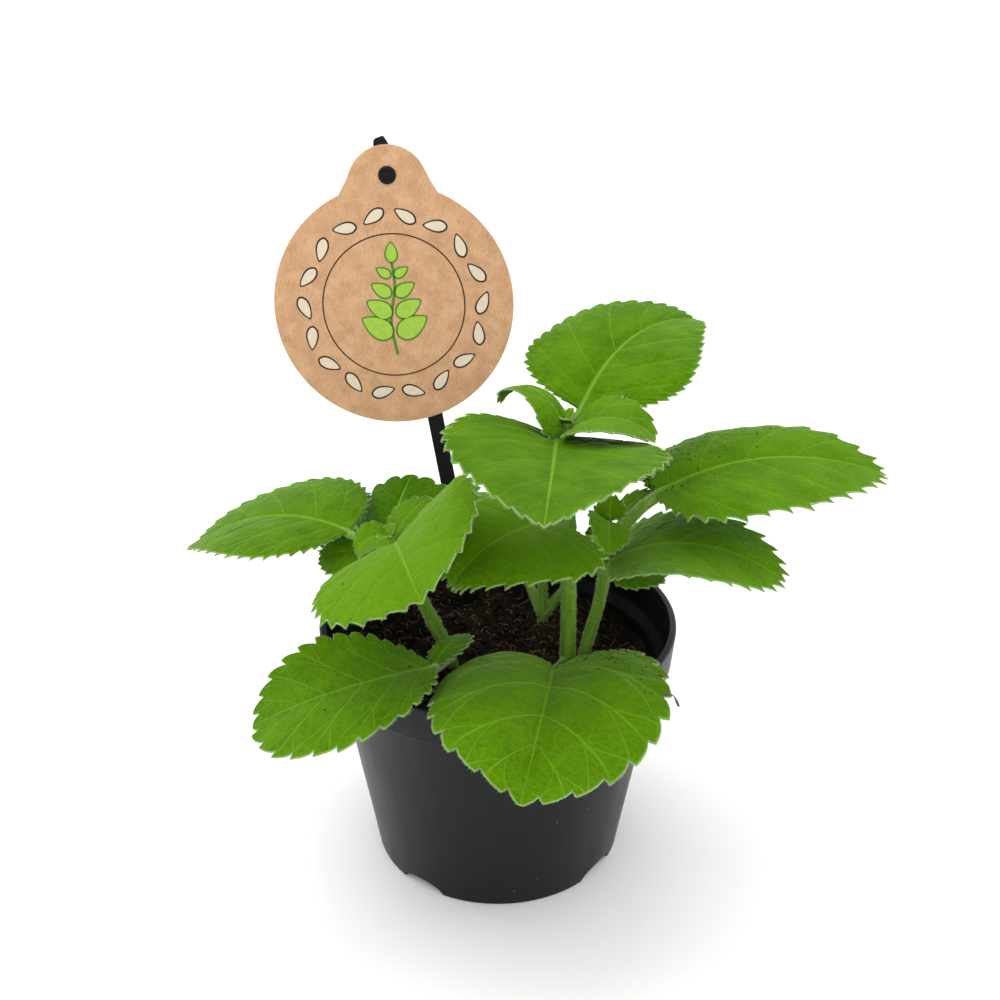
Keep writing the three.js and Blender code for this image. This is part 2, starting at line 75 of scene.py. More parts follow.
def addObject(name, data):
    obj = bpy.data.objects.new(name, data)
    bpy.context.scene.collection.objects.link(obj)
    return obj


# Collects points, faces and per-point values, then makes one mesh object of them
class Piece:
    def __init__(self):
        self.points = []
        self.faces = []
        self.values = {}
        self.count = 0

    def add(self, points, faces, **values):
        points = np.asarray(points, float).reshape(-1, 3)
        self.points.append(points)
        for face in faces:
            self.faces.append(tuple(int(i) + self.count for i in face))
        for name, value in values.items():
            value = np.asarray(value, float)
            filled = np.broadcast_to(value, (len(points),) + value.shape[1:] if value.ndim else (len(points),))
            self.values.setdefault(name, []).append((self.count, filled))
        self.count += len(points)

    def mesh(self, name):
        mesh = bpy.data.meshes.new(name)
        mesh.from_pydata((np.vstack(self.points) * mm).tolist(), [], self.faces)
        return mesh

    def build(self, name, material, slot, replaces=(), sharp=None, weld=0):
        mesh = self.mesh(name)
        corner = np.zeros(len(mesh.loops), np.int32)
        mesh.loops.foreach_get("vertex_index", corner)
        for key, runs in self.values.items():
            wide = runs[0][1].ndim == 2
            full = np.zeros((self.count, 2) if wide else self.count)
            for start, value in runs:
                full[start:start + len(value)] = value
            if wide:
                layer = mesh.uv_layers.new(name=key)
                layer.data.foreach_set("uv", full[corner].astype(np.float32).ravel())
            else:
                mesh.attributes.new(key, "FLOAT", "POINT").data.foreach_set("value", full.astype(np.float32))
        if weld:
            shape = bmesh.new()
            shape.from_mesh(mesh)
            bmesh.ops.remove_doubles(shape, verts=shape.verts, dist=weld * mm)
            bmesh.ops.dissolve_degenerate(shape, edges=shape.edges, dist=weld * mm)
            shape.to_mesh(mesh)
            shape.free()
        mesh.validate()
        mesh.shade_smooth()
        if sharp:
            mesh.set_sharp_from_angle(angle=math.radians(sharp))
        mesh.materials.append(material)
        obj = addObject(name, mesh)
        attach(obj, "root")
        if replaces:
            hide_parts(*replaces)


# Quads between rows of equal length; closed joins the last column to the first
def gridFaces(rows, columns, closed=False, flip=False):
    faces = []
    for r in range(rows - 1):
        for c in range(columns if closed else columns - 1):
            d = (c + 1) % columns
            face = (r * columns + c, r * columns + d, (r + 1) * columns + d, (r + 1) * columns + c)
            faces.append(face[::-1] if flip else face)
    return faces


# Faces of a tube of rings, with a fan to a middle point at each end; the two middle points come last
def tubeFaces(rows, sides, flip=False):
    faces = gridFaces(rows, sides, closed=True, flip=flip)
    middle, last = rows * sides, (rows - 1) * sides
    for s in range(sides):
        a, b = (s, (s + 1) % sides)[::-1 if flip else 1]
        faces += [(middle, b, a), (middle + 1, last + a, last + b)]
    return faces


# Smooth line through points, with as many samples as asked
def smoothLine(points, samples):
    points = np.asarray(points, float)
    ends = np.vstack([2 * points[0] - points[1], points, 2 * points[-1] - points[-2]])
    where = np.linspace(0, len(points) - 1, samples)
    first = np.minimum(where.astype(int), len(points) - 2)
    t = (where - first)[:, None]
    a, b, c, d = (ends[first + i] for i in range(4))
    return 0.5 * (2 * b + (c - a) * t + (2 * a - 5 * b + 4 * c - d) * t ** 2 + (3 * b - a - 3 * c + d) * t ** 3)


# Tangent and two sideways directions along a line, without twist
def lineFrames(line):
    tangent = unit(np.gradient(line, axis=0))
    first = np.cross(tangent[0], [0.3, 0.9, 0.1])
    sideways = [first / np.linalg.norm(first)]
    for t in tangent[1:]:
        s = sideways[-1] - t * (sideways[-1] @ t)
        sideways.append(s / np.linalg.norm(s))
    sideways = np.array(sideways)
    return tangent, sideways, np.cross(tangent, sideways)


# Round or squarish rod with a radius for each sample and rounded ends
def addRod(piece, line, radius, sides=12, square=0.0, wobble=0.0, seed=0):
    radius = np.broadcast_to(np.asarray(radius, float), (len(line),))
    tangent, side, up = lineFrames(line)
    angle = np.arange(sides) / sides * 2 * np.pi
    shape = 1 + square * np.cos(4 * angle)
    ring = line[:, None] + radius[:, None, None] * shape[None, :, None] * (
        np.cos(angle)[None, :, None] * side[:, None] + np.sin(angle)[None, :, None] * up[:, None])
    if wobble:
        flat = ring.reshape(-1, 3)
        push = softNoise(flat, 2.2, seed)[:, None] * wobble
        centre = np.repeat(line, sides, axis=0)
        flat += (flat - centre) * push
        ring = flat.reshape(ring.shape)
    ends = line[0] - tangent[0] * radius[0] * 0.5, line[-1] + tangent[-1] * radius[-1] * 0.5
    length = np.linalg.norm(np.diff(line, axis=0), axis=1).cumsum()
    along = np.concatenate([[0], length])
    flatPlace = np.stack(np.broadcast_arrays(angle[None] / (2 * np.pi) * 12, along[:, None]), -1).reshape(-1, 2)
    flatPlace = np.vstack([flatPlace, flatPlace[0], flatPlace[-1]])
    piece.add(np.vstack([ring.reshape(-1, 3), *ends]), tubeFaces(len(line), sides), flatPlace=flatPlace * 0.01)


# Shader builder: short calls that each add one node
class Finish:
    def __init__(self, name, roughness, **sockets):
        self.material = bpy.data.materials.new(name)
        self.material.use_nodes = True
        self.tree = self.material.node_tree
        self.shader = self.tree.nodes["Principled BSDF"]
        self.shader.inputs["Roughness"].default_value = roughness
        for socket, value in sockets.items():
            self.shader.inputs[socket.replace("_", " ")].default_value = value

    def node(self, kind, **settings):
        node = self.tree.nodes.new("ShaderNode" + kind)
        for key, value in settings.items():
            setattr(node, key, value)
        return node

    def wire(self, value, socket):
        if hasattr(value, "is_output"):
            self.tree.links.new(value, socket)
        else:
            socket.default_value = value

    def math(self, operation, a, b=0.0, c=0.0, clamp=False):
        node = self.node("Math", operation=operation, use_clamp=clamp)
        for value, socket in zip((a, b, c), node.inputs):
            self.wire(value, socket)
        return node.outputs[0]

    def times(self, a, b):
        return self.math("MULTIPLY", a, b)

    def gap(self, a, b):
        return self.math("ABSOLUTE", self.math("SUBTRACT", a, b))

    def step(self, value, low, high, first=0.0, last=1.0):
        node = self.node("MapRange", interpolation_type="SMOOTHSTEP")
        for item, socket in zip((value, low, high, first, last), node.inputs):
            self.wire(item, socket)
        return node.outputs[0]

    def blend(self, share, a, b):
        node = self.node("Mix", data_type="RGBA")
        self.wire(share, node.inputs[0])
        for value, socket in ((a, node.inputs[6]), (b, node.inputs[7])):
            self.wire(value if hasattr(value, "is_output") else (*value, 1.0), socket)
        return node.outputs[2]

    def tint(self, color, mask, amount, other):
        return self.blend(self.times(mask, amount), color, other)

    def noise(self, place, scale, detail=4.0, roughness=0.55, stretch=None):
        node = self.node("TexNoise")
        if stretch:
            mapping = self.node("Mapping")
            mapping.inputs["Scale"].default_value = stretch
            self.wire(place, mapping.inputs["Vector"])
            place = mapping.outputs[0]
        self.wire(place, node.inputs["Vector"])
        node.inputs["Scale"].default_value = scale
        node.inputs["Detail"].default_value = detail
        node.inputs["Roughness"].default_value = roughness
        return node.outputs["Fac"]

    def cells(self, place, scale, low, high, dimensions="3D", feature="F1", soft=None):
        node = self.node("TexVoronoi", feature=feature, voronoi_dimensions=dimensions)
        self.wire(place, node.inputs["Vector"])
        node.inputs["Scale"].default_value = scale
        if soft:
            node.inputs["Smoothness"].default_value = soft
        return self.step(node.outputs["Distance"], low, high, 1, 0)

    def place(self):
        return self.node("TexCoord").outputs["Object"]

    def layer(self, name):
        return self.node("UVMap", uv_map=name).outputs[0]

    def value(self, name):
        return self.node("Attribute", attribute_name=name).outputs["Fac"]

    def bump(self, height, strength, distance, under=None):
        node = self.node("Bump")
        node.inputs["Strength"].default_value = strength
        node.inputs["Distance"].default_value = distance
        self.wire(height, node.inputs["Height"])
        if under is not None:
            self.wire(under, node.inputs["Normal"])
        return node.outputs[0]

    def finish(self, color=None, roughness=None, normal=None):
        for value, socket in ((color, "Base Color"), (roughness, "Roughness"), (normal, "Normal")):
            if value is not None:
                self.wire(value, self.shader.inputs[socket])
        return self.material


print("helpers ready")

camera = {"lens": 48.93, "place": (0.000708, -0.39684, 0.32203), "downward": 25.71}
cameraData = bpy.data.cameras.new("camera")
cameraData.lens = camera["lens"]
cameraData.clip_start = 0.01
cameraObject = addObject("camera", cameraData)
cameraObject.location = camera["place"]
cameraObject.rotation_euler = (math.radians(90 - camera["downward"]), 0, 0)
bpy.context.scene.camera = cameraObject
bpy.context.scene.view_settings.view_transform = "Standard"

# Leaf green: deep between the veins, paler on them and along the hairy margin
leafLook = {
    "deep": (0.038, 0.112, 0.0010), "bright": (0.100, 0.232, 0.0025), "vein": (0.16, 0.33, 0.02),
    "edge": (0.42, 0.52, 0.26), "beneath": (0.09, 0.19, 0.03), "quilting": 2.4, "fineQuilting": 1.1,
}


def leafFinish():
    look = leafLook
    f = Finish("leaf_green", 0.62, Sheen_Weight=0.20, Sheen_Roughness=0.20, Sheen_Tint=(0.72, 0.95, 0.38, 1),
               Subsurface_Weight=0.20, Subsurface_Scale=0.002, Specular_IOR_Level=0.07,
               Specular_Tint=(0.5, 1.0, 0.08, 1))
    f.shader.inputs["Subsurface Radius"].default_value = (0.4, 1.0, 0.15)
    veins = f.layer("veinPlace")
    split = f.node("SeparateXYZ")
    f.wire(veins, split.inputs[0])
    along = split.outputs[0]
    reach = f.math("ABSOLUTE", split.outputs[1])
    turn = f.math("FRACT", along)
    near = f.math("SUBTRACT", 0.5, f.gap(turn, 0.5))
    main = f.step(near, 0.010, 0.040, 1, 0)
    main = f.times(main, f.step(reach, 0.75, 1.0, 1, 0.35))
    branchAt = f.times(f.step(reach, 0.42, 1.05), 0.5)
    branch = f.step(f.gap(turn, branchAt), 0.006, 0.030, 0.8, 0)
    branch = f.times(branch, f.step(reach, 0.42, 0.5))
    lower = f.math("SUBTRACT", 1, f.times(f.step(reach, 0.55, 1.1), 0.5))
    second = f.step(f.gap(turn, lower), 0.006, 0.030, 0.7, 0)
    second = f.times(second, f.step(reach, 0.55, 0.62))
    midrib = f.times(f.step(f.value("ribReach"), 0.35, 1.15, 1, 0), 0.75)
    vein = f.math("MAXIMUM", main, f.math("MAXIMUM", branch, second))
    shown = f.math("MAXIMUM", f.times(vein, f.value("veinShow")), midrib)
    flat = f.layer("flatPlace")
    warp = f.noise(flat, 60, 2)
    shifted = f.node("VectorMath", operation="ADD")
    spread = f.node("CombineXYZ")
    f.wire(f.times(warp, 0.02), spread.inputs[0])
    f.wire(f.times(warp, 0.013), spread.inputs[1])
    f.wire(flat, shifted.inputs[0])
    f.wire(spread.outputs[0], shifted.inputs[1])
    across = f.node("Mapping")
    across.inputs["Scale"].default_value = (1.0, 0.75, 1.0)
    f.wire(shifted.outputs[0], across.inputs["Vector"])
    coarse, fine = 100 / look["quilting"], 100 / look["fineQuilting"]
    web = f.cells(across.outputs[0], coarse, 0.0, 0.20, "2D", "DISTANCE_TO_EDGE")
    puffs = f.cells(across.outputs[0], coarse, 0.0, 0.85, "2D", "SMOOTH_F1", 0.5)
    finePuffs = f.cells(across.outputs[0], fine, 0.0, 0.85, "2D", "SMOOTH_F1", 0.6)
    patch = f.noise(flat, 9, 3)
    # Tone: random patches plus each leaf's tone setting, which holds painted light and shade as well as the paler
    # green of young leaves
    tone = f.math("ADD", f.times(patch, 0.8), f.value("freshness"))
    color = f.blend(f.step(tone, 0.25, 1.15), look["deep"], look["bright"])
    color = f.tint(color, f.step(finePuffs, 0.2, 0.9), 0.16, look["deep"])
    color = f.tint(color, web, f.times(f.value("veinShow"), 0.22), look["vein"])
    color = f.blend(shown, color, look["vein"])
    color = f.tint(color, f.value("beneath"), 0.75, look["beneath"])
    color = f.tint(color, f.step(reach, 0.985, 1.0), 0.34, look["edge"])
    relief = f.math("MULTIPLY_ADD", vein, -0.5, f.times(puffs, 0.8))
    relief = f.math("MULTIPLY_ADD", finePuffs, 0.15, relief)
    relief = f.times(relief, f.math("MULTIPLY_ADD", f.value("veinShow"), 1.3, 0.5))
    normal = f.bump(relief, 0.7, 0.0005)
    hair = f.noise(flat, 700, 2)
    normal = f.bump(hair, 0.06, 0.0002, normal)
    rough = f.math("MULTIPLY_ADD", hair, 0.2, 0.5)
    return f.finish(color, rough, normal)


# Stems and stalks: pale green with fine lengthwise streaks
stemLook = {"pale": (0.20, 0.36, 0.03), "green": (0.07, 0.19, 0.006)}


def stemFinish():
    f = Finish("stem_green", 0.5, Sheen_Weight=0.28, Sheen_Roughness=0.35, Sheen_Tint=(0.88, 1.0, 0.45, 1),
               Subsurface_Weight=0.15, Subsurface_Scale=0.002, Specular_IOR_Level=0.2)
    f.shader.inputs["Subsurface Radius"].default_value = (0.5, 1.0, 0.2)
    flat = f.layer("flatPlace")
    streak = f.noise(flat, 60, 4, stretch=(1.0, 0.08, 1.0))
    patch = f.noise(f.place(), 90, 3)
    tone = f.step(f.math("MULTIPLY_ADD", streak, 0.7, f.times(patch, 0.4)), 0.3, 0.8)
    color = f.blend(tone, stemLook["green"], stemLook["pale"])
    normal = f.bump(streak, 0.4, 0.0003)
    return f.finish(color, None, normal)


def hairFinish():
    f = Finish("white_hair", 0.45, Specular_IOR_Level=0.4)
    patch = f.noise(f.place(), 300, 2)
    color = f.blend(patch, (0.62, 0.72, 0.48), (0.86, 0.9, 0.78))
    return f.finish(color)


leafGreen = leafFinish()
stemGreen = stemFinish()
whiteHair = hairFinish()

# Leaf settings, angles in degrees: turn and rise set the midrib's heading and slope at the base, droop and
# bend its fall and side turn along the leaf, late moves the fall towards the tip, roll and twist tip the blade,
# fold and curl are the slope and roll-down of the left and right halves, full, point and lobe shape the outline,
# across counts the grid steps from midrib to margin, stalk thickens the stalk, arch lifts it, and the tone
# setting brightens the green, partly as the paler tone of young leaves and partly as painted light and shade,
# set leaf by leaf to lighten or darken each leaf's green for how it is lit
leafBase = {
    "droop": 30, "bend": 0, "roll": 0, "twist": 0, "fold": (8, 8), "curl": (20, 20), "full": 0.2,
    "point": 0.25, "lobe": 0.08, "late": 0, "teeth": 17, "veins": 7, "across": 33,
    "stalk": 1, "arch": 0, "fresh": 0.35, "toothDepth": 2.1, "hook": 0.6, "veinShow": 0.36,
}
youngLeaf = {"teeth": 9, "veins": 4, "across": 15, "stalk": 0.7, "toothDepth": 1.1, "fresh": 0.45}
budLeaf = {
    "teeth": 4, "veins": 3, "across": 9, "stalk": 0.5, "point": 0.4, "lobe": 0,
    "fold": (25, 25), "curl": (10, 10), "toothDepth": 0.5, "fresh": 0.6,
}


def leaf(origin, base, kind=None, **own):
    return {**leafBase, **(kind or {}), "from": origin, "base": base, **own}


# Each leaf's tone setting below holds painted light and shade as well as its age: leaves that stand in light or shade
# have their green lightened or darkened one by one
cuttings = {
    "left": {
        "stem": [(-15, -6, 48), (-15.5, -7, 72), (-24, -8, 96), (-34, -8, 116), (-36, -7, 121)],
        "radius": 2.2,
        "leaves": [
            leaf((-34, -8, 115), (-49, -1, 120), turn=152, rise=12, droop=49, bend=6, roll=-4, length=66,
                 width=58, fold=(9, 10), curl=(14, 22), full=0.26, lobe=0.01, late=-0.36, teeth=21,
                 toothDepth=1.9, hook=0.9),
            leaf((-34, -8, 117), (-33, -14, 121), turn=-83, rise=43, droop=51, bend=12, roll=29, twist=4,
                 length=52, width=61, fold=(17, 12), curl=(10, 21), full=-0.02, point=-0.05, lobe=0.09,
                 late=-0.94, teeth=18, toothDepth=2.4, hook=0.9, fresh=0.6),
            leaf((-34, -7, 114), (-37, 4, 114), turn=65, rise=49, droop=23, bend=5, roll=-19, twist=12,
                 length=25, width=48, fold=(-2, 3), curl=(40, 17), full=0.17, point=0.09, teeth=10, across=24,
                 fresh=-0.1, hook=-1),
            leaf((-16, -8, 76), (-20, -37, 91), turn=201, rise=0, droop=28, bend=-15, roll=11, twist=-13,
                 length=58, width=52, fold=(3, 0), curl=(14, -20), full=0.12, point=-0.4, lobe=-0.04, late=0.3,
                 teeth=15, fresh=0.3, hook=0, toothDepth=2.5, veinShow=0.55),
            leaf((-20, -34, 89), (-20, -34, 89.5), youngLeaf, turn=62, rise=22, droop=36, roll=-16, length=19,
                 width=13, full=-0.2, lobe=0, fold=(5, 5), toothDepth=1.6, fresh=0.3),
            leaf((-30, -8, 108), (-39, 9, 103), turn=112, rise=8, droop=30, length=44, width=34, teeth=12,
                 across=21),
            leaf((-34, -8, 114), (-43, -2, 113), youngLeaf, turn=164, rise=-1, droop=31, roll=-8, twist=-20,
                 length=18, width=22),
            leaf((-35, -7, 118), (-34, -2, 116), youngLeaf, turn=35, rise=68, droop=57, bend=8, roll=-13,
                 twist=7, length=20, width=19, fold=(3, 6), curl=(0, 14)),
            leaf((-36, -7, 119), (-34, -8, 120), youngLeaf, turn=202, rise=52, droop=130, length=15, width=17,
                 fold=(10, 10), curl=(12, 0)),
            leaf((-36, -7, 120), (-36, -8, 121), budLeaf, turn=250, rise=40, length=5, width=4),
            leaf((-36, -7, 120), (-36, -6, 121), budLeaf, turn=70, rise=40, length=5, width=4),
        ],
    },
    "tall": {
        "stem": [(23.5, -7, 48), (23.5, -8, 72), (23, -9, 110), (21.5, -9, 150), (21.5, -9, 162)],
        "radius": 2.45,
        "leaves": [
            leaf((23, -9, 76), (19, -17, 78), turn=-95, rise=33, droop=49, bend=-8, twist=-14, length=82,
                 width=70, fold=(31, 31), curl=(37, 76), point=-0.4, late=-0.45, teeth=15, across=39,
                 fresh=0.45, toothDepth=2.6, hook=0.1, veinShow=0.72),
            leaf((22, -8, 157), (26, -1, 163), turn=65, rise=32, droop=47, bend=-26, roll=11, twist=-3,
                 length=71, width=53, fold=(17, 14), curl=(43, 16), full=0.38, point=0.18, lobe=-0.04, late=0.2,
                 teeth=24, fresh=0.35, toothDepth=1.6, hook=0.2),
            leaf((21.5, -9, 156), (18, -15, 159), turn=-94, rise=9, droop=12, bend=-2, roll=-10, twist=12,
                 length=66, width=65, fold=(17, 19), curl=(19, 26), full=0.23, point=0.38, teeth=19, across=36,
                 fresh=0.3, hook=0.6, veinShow=0.22),
            leaf((22.5, -9, 126), (15, -16, 131), turn=-143, rise=5, droop=66, bend=-8, twist=-10, length=39,
                 width=65, fold=(11, 12), curl=(17, 30), full=0.4, point=0.6, lobe=0.13, late=0.65, teeth=16,
                 fresh=0.95, hook=0.9),
            leaf((21.5, -9, 159), (20, -11, 160), youngLeaf, turn=158, rise=72, droop=150, bend=8, roll=5,
                 twist=18, length=29, width=24, fold=(7, 5), curl=(35, 22), full=0.37, point=0.5, late=0.8),
            leaf((21.5, -9, 159), (22, -13.5, 160.5), youngLeaf, turn=-10, rise=45, droop=91, roll=-9, twist=14,
                 length=29, width=32, curl=(0, 5)),
            leaf((21.5, -9, 161), (21, -8.5, 162), budLeaf, turn=60, rise=50, length=5, width=4),
            leaf((21.5, -9, 161), (21.5, -10, 162), budLeaf, turn=240, rise=50, length=4.5, width=4),
        ],
    },
    "right": {
        "stem": [(28, -4, 48), (28.8, -4, 72), (34, -3, 96), (35, -5, 114), (35, -6, 126)],
        "radius": 1.9,
        "leaves": [
            leaf((35, -5, 115), (51, 0, 133), turn=17, rise=26, droop=48, bend=-10, roll=5, twist=13,
                 length=82, width=64, fold=(9, 8), curl=(50, 11), full=0.12, point=0.6, late=-0.26, arch=2,
                 teeth=17, toothDepth=3.0, hook=1, stalk=1.4, fresh=0.42, veinShow=0.3),
            leaf((35, -4, 108), (37, -8, 113), turn=-7, rise=38, droop=68, bend=-11, twist=8, length=58,
                 width=52, fold=(-1, -1), curl=(7, -20), point=0.16, late=-0.37, teeth=16, fresh=0.5,
                 toothDepth=3.0, hook=0.8, veinShow=0.3),
            leaf((35, -3, 104), (38, 2, 105), youngLeaf, turn=-10, rise=1, droop=22, roll=9, length=18,
                 width=19),
            leaf((35, -6, 123), (36, -6, 127), youngLeaf, turn=84, rise=69, droop=42, length=8, width=10,
                 teeth=6),
            leaf((35, -6, 124), (35, -10, 128), youngLeaf, turn=-92, rise=17, droop=67, roll=-20, length=15,
                 width=15, fold=(11, 17), curl=(15, 3)),
            leaf((35, -4, 118), (40, 2, 122.5), youngLeaf, turn=25, rise=57, droop=36, length=14, width=12,
                 teeth=7),
            leaf((35, -6, 124), (34, -7, 126), budLeaf, turn=200, rise=60, length=7, width=5),
            leaf((35, -6, 124), (33.5, -8, 124), budLeaf, turn=220, rise=20, length=7, width=5),
        ],
    },
    "back": {
        "stem": [(16, 25, 48), (16, 25, 72), (16, 27, 84), (16.5, 30, 99)],
        "radius": 1.7,
        "leaves": [
            leaf((16, 25, 73), (5, 42, 94), turn=94, rise=18, droop=42, length=42, width=30, teeth=13,
                 across=21, stalk=1.15),
            leaf((16, 25, 73), (31, 36, 88), turn=28, rise=22, droop=50, length=50, width=30, teeth=14,
                 across=21, stalk=1.15),
            leaf((16.5, 30, 97), (16, 33, 100), youngLeaf, turn=100, rise=25, droop=50, length=13, width=11,
                 teeth=7),
            leaf((16.5, 30, 98), (16, 27, 100), youngLeaf, turn=265, rise=15, droop=50, length=11, width=10,
                 teeth=7),
        ],
    },
}


# Points on the midrib, with the directions along, sideways and up out of the leaf
def midribAt(leaf, along):
    length = leaf["length"]
    reach = np.linspace(0, 1.1 * length, 241)

    def angles(distance):
        share = distance / length
        fall = share + leaf["late"] * (share * share - share)
        return np.radians(leaf["rise"] - leaf["droop"] * fall), np.radians(leaf["turn"] + leaf["bend"] * share)

    def direction(distance):
        pitch, heading = angles(distance)
        return np.stack([np.cos(pitch) * np.cos(heading), np.cos(pitch) * np.sin(heading), np.sin(pitch)], -1)

    middle = (reach[1:] + reach[:-1]) / 2
    walk = np.vstack([np.zeros(3), np.cumsum(direction(middle) * reach[1], axis=0)])
    inside = np.clip(along, 0, reach[-1])
    point = np.stack([np.interp(inside, reach, walk[:, i]) for i in range(3)], -1) + np.array(leaf["base"])
    ahead = direction(inside)
    point += ahead * np.minimum(along, 0)[:, None]
    _, heading = angles(inside)
    level = np.stack([-np.sin(heading), np.cos(heading), np.zeros_like(heading)], -1)
    roll = np.radians(leaf["roll"] + leaf["twist"] * inside / length)[:, None]
    side = np.cos(roll) * level + np.sin(roll) * np.cross(ahead, level)
    return point, ahead, side, np.cross(ahead, side)


# Points on the bent blade from places on the flat leaf, lifted off its middle surface
def bladeAt(leaf, x, y, lift):
    point, _, side, up = midribAt(leaf, x)
    left = y > 0
    fold = np.radians(np.where(left, leaf["fold"][0], leaf["fold"][1]))
    curl = np.radians(np.where(left, leaf["curl"][0], leaf["curl"][1])) * np.abs(y) / (leaf["width"] / 2)
    far = np.sqrt(y * y + 0.8 ** 2) - 0.8

    def mean(wave):
        return (wave(fold) + 4 * wave(fold - curl / 2) + wave(fold - curl)) / 6

    tilt = (fold - curl) * np.minimum(1, np.abs(y) / 1.5)
    out = y * mean(np.cos) - np.sign(y) * lift * np.sin(tilt)
    high = far * mean(np.sin) + lift * np.cos(tilt)
    return point + side * out[:, None] + up * high[:, None]


# Smooth margin of the flat leaf: phi runs from 0 at the base to pi at the tip
def marginAt(leaf, phi):
    lobe = leaf["lobe"] * np.sin(phi) * (1 + np.cos(phi)) ** 2 / 4
    taper = 1 - leaf["point"] + 1.2 * leaf["point"] * np.cos(phi / 2)
    x = leaf["length"] * ((1 - np.cos(phi)) / 2 - lobe)
    y = leaf["width"] / 2 * np.sin(phi) * (1 + leaf["full"] * np.cos(phi)) * taper
    return np.stack([x, y], -1)


# Teeth crowd together near the base: place along the margin from the count of teeth passed, and back
toothSpread = 0.74


def toothShare(leaf, phase):
    return (phase / (leaf["teeth"] + 0.5)) ** (1 / toothSpread)


# Margin with teeth that lean towards the tip: hook 0 gives a long rounded back and a short step in, hook 1
# points with hollows between them, and below 0 even round scallops
def toothedMargin(leaf, phi):
    phase = (leaf["teeth"] + 0.5) * (np.clip(phi, 0, np.pi) / np.pi) ** toothSpread
    number, local = np.floor(phase + 1e-7), np.maximum(phase + 1e-7, 0) % 1
    last = number >= leaf["teeth"]
    peak = np.where(last, 0.5, 0.78)
    up, down = np.minimum(local / peak, 1), np.maximum(local - peak, 0) / (1 - peak)
    hook = max(leaf["hook"], 0)
    back = (1 - hook) * np.sin(up * np.pi / 2) ** 0.8 + hook * up ** 2.4
    front = (1 - hook) * (1 - down ** 1.25) + hook * (1 - down) ** 1.6
    height = np.where(local < peak, back, front) - 0.5 + 0.15 * hook
    if leaf["hook"] < 0:
        height = np.sin(np.pi * local) ** 0.55 - 0.6
    ahead = marginAt(leaf, phi + 0.01) - marginAt(leaf, phi - 0.01)
    pace = np.linalg.norm(ahead, axis=1)
    ahead /= pace[:, None]
    unevenness = 1 + 0.22 * np.sin(number * 2.3 + leaf["turn"])
    depth = leaf["toothDepth"] * np.clip(phi / 0.5, 0, 1) * unevenness
    pitch = pace / 0.02 * np.pi / leaf["teeth"] * np.clip(phi / np.pi, 0, 1) ** (1 - toothSpread)
    lean = np.where(local < peak, up ** 2, 1 - down) * pitch * 0.26 * np.clip((np.pi - phi) / 0.4, 0, 1)
    lean *= leaf["hook"] >= 0
    return marginAt(leaf, phi) + leftOf(ahead) * (height * depth)[:, None] + ahead * lean[:, None]


# How far along the side veins a place is: whole numbers lie on a vein
def veinPlace(leaf, a, v):
    return leaf["veins"] * (a - 0.07 * np.abs(v) ** 1.2 * np.sin(np.pi * np.clip(a, 0, 1)) ** 0.6)


# Where the line to a place on the margin leaves the midrib
def lineStart(leaf, a):
    return 0.8 * leaf["length"] * ((1 - np.cos(a * np.pi)) / 2) ** 1.5


# Relief and thickness of a blade in mm
blade = {
    "puff": 0.34, "quilt": 0.24, "quiltSize": 3.1, "wave": 0.9, "waveSize": 15, "ripple": 0.25, "groove": 0.25,
    "vein": 0.5, "midrib": 0.9, "half": 0.5, "thinning": 0.22, "rim": 0.22,
}


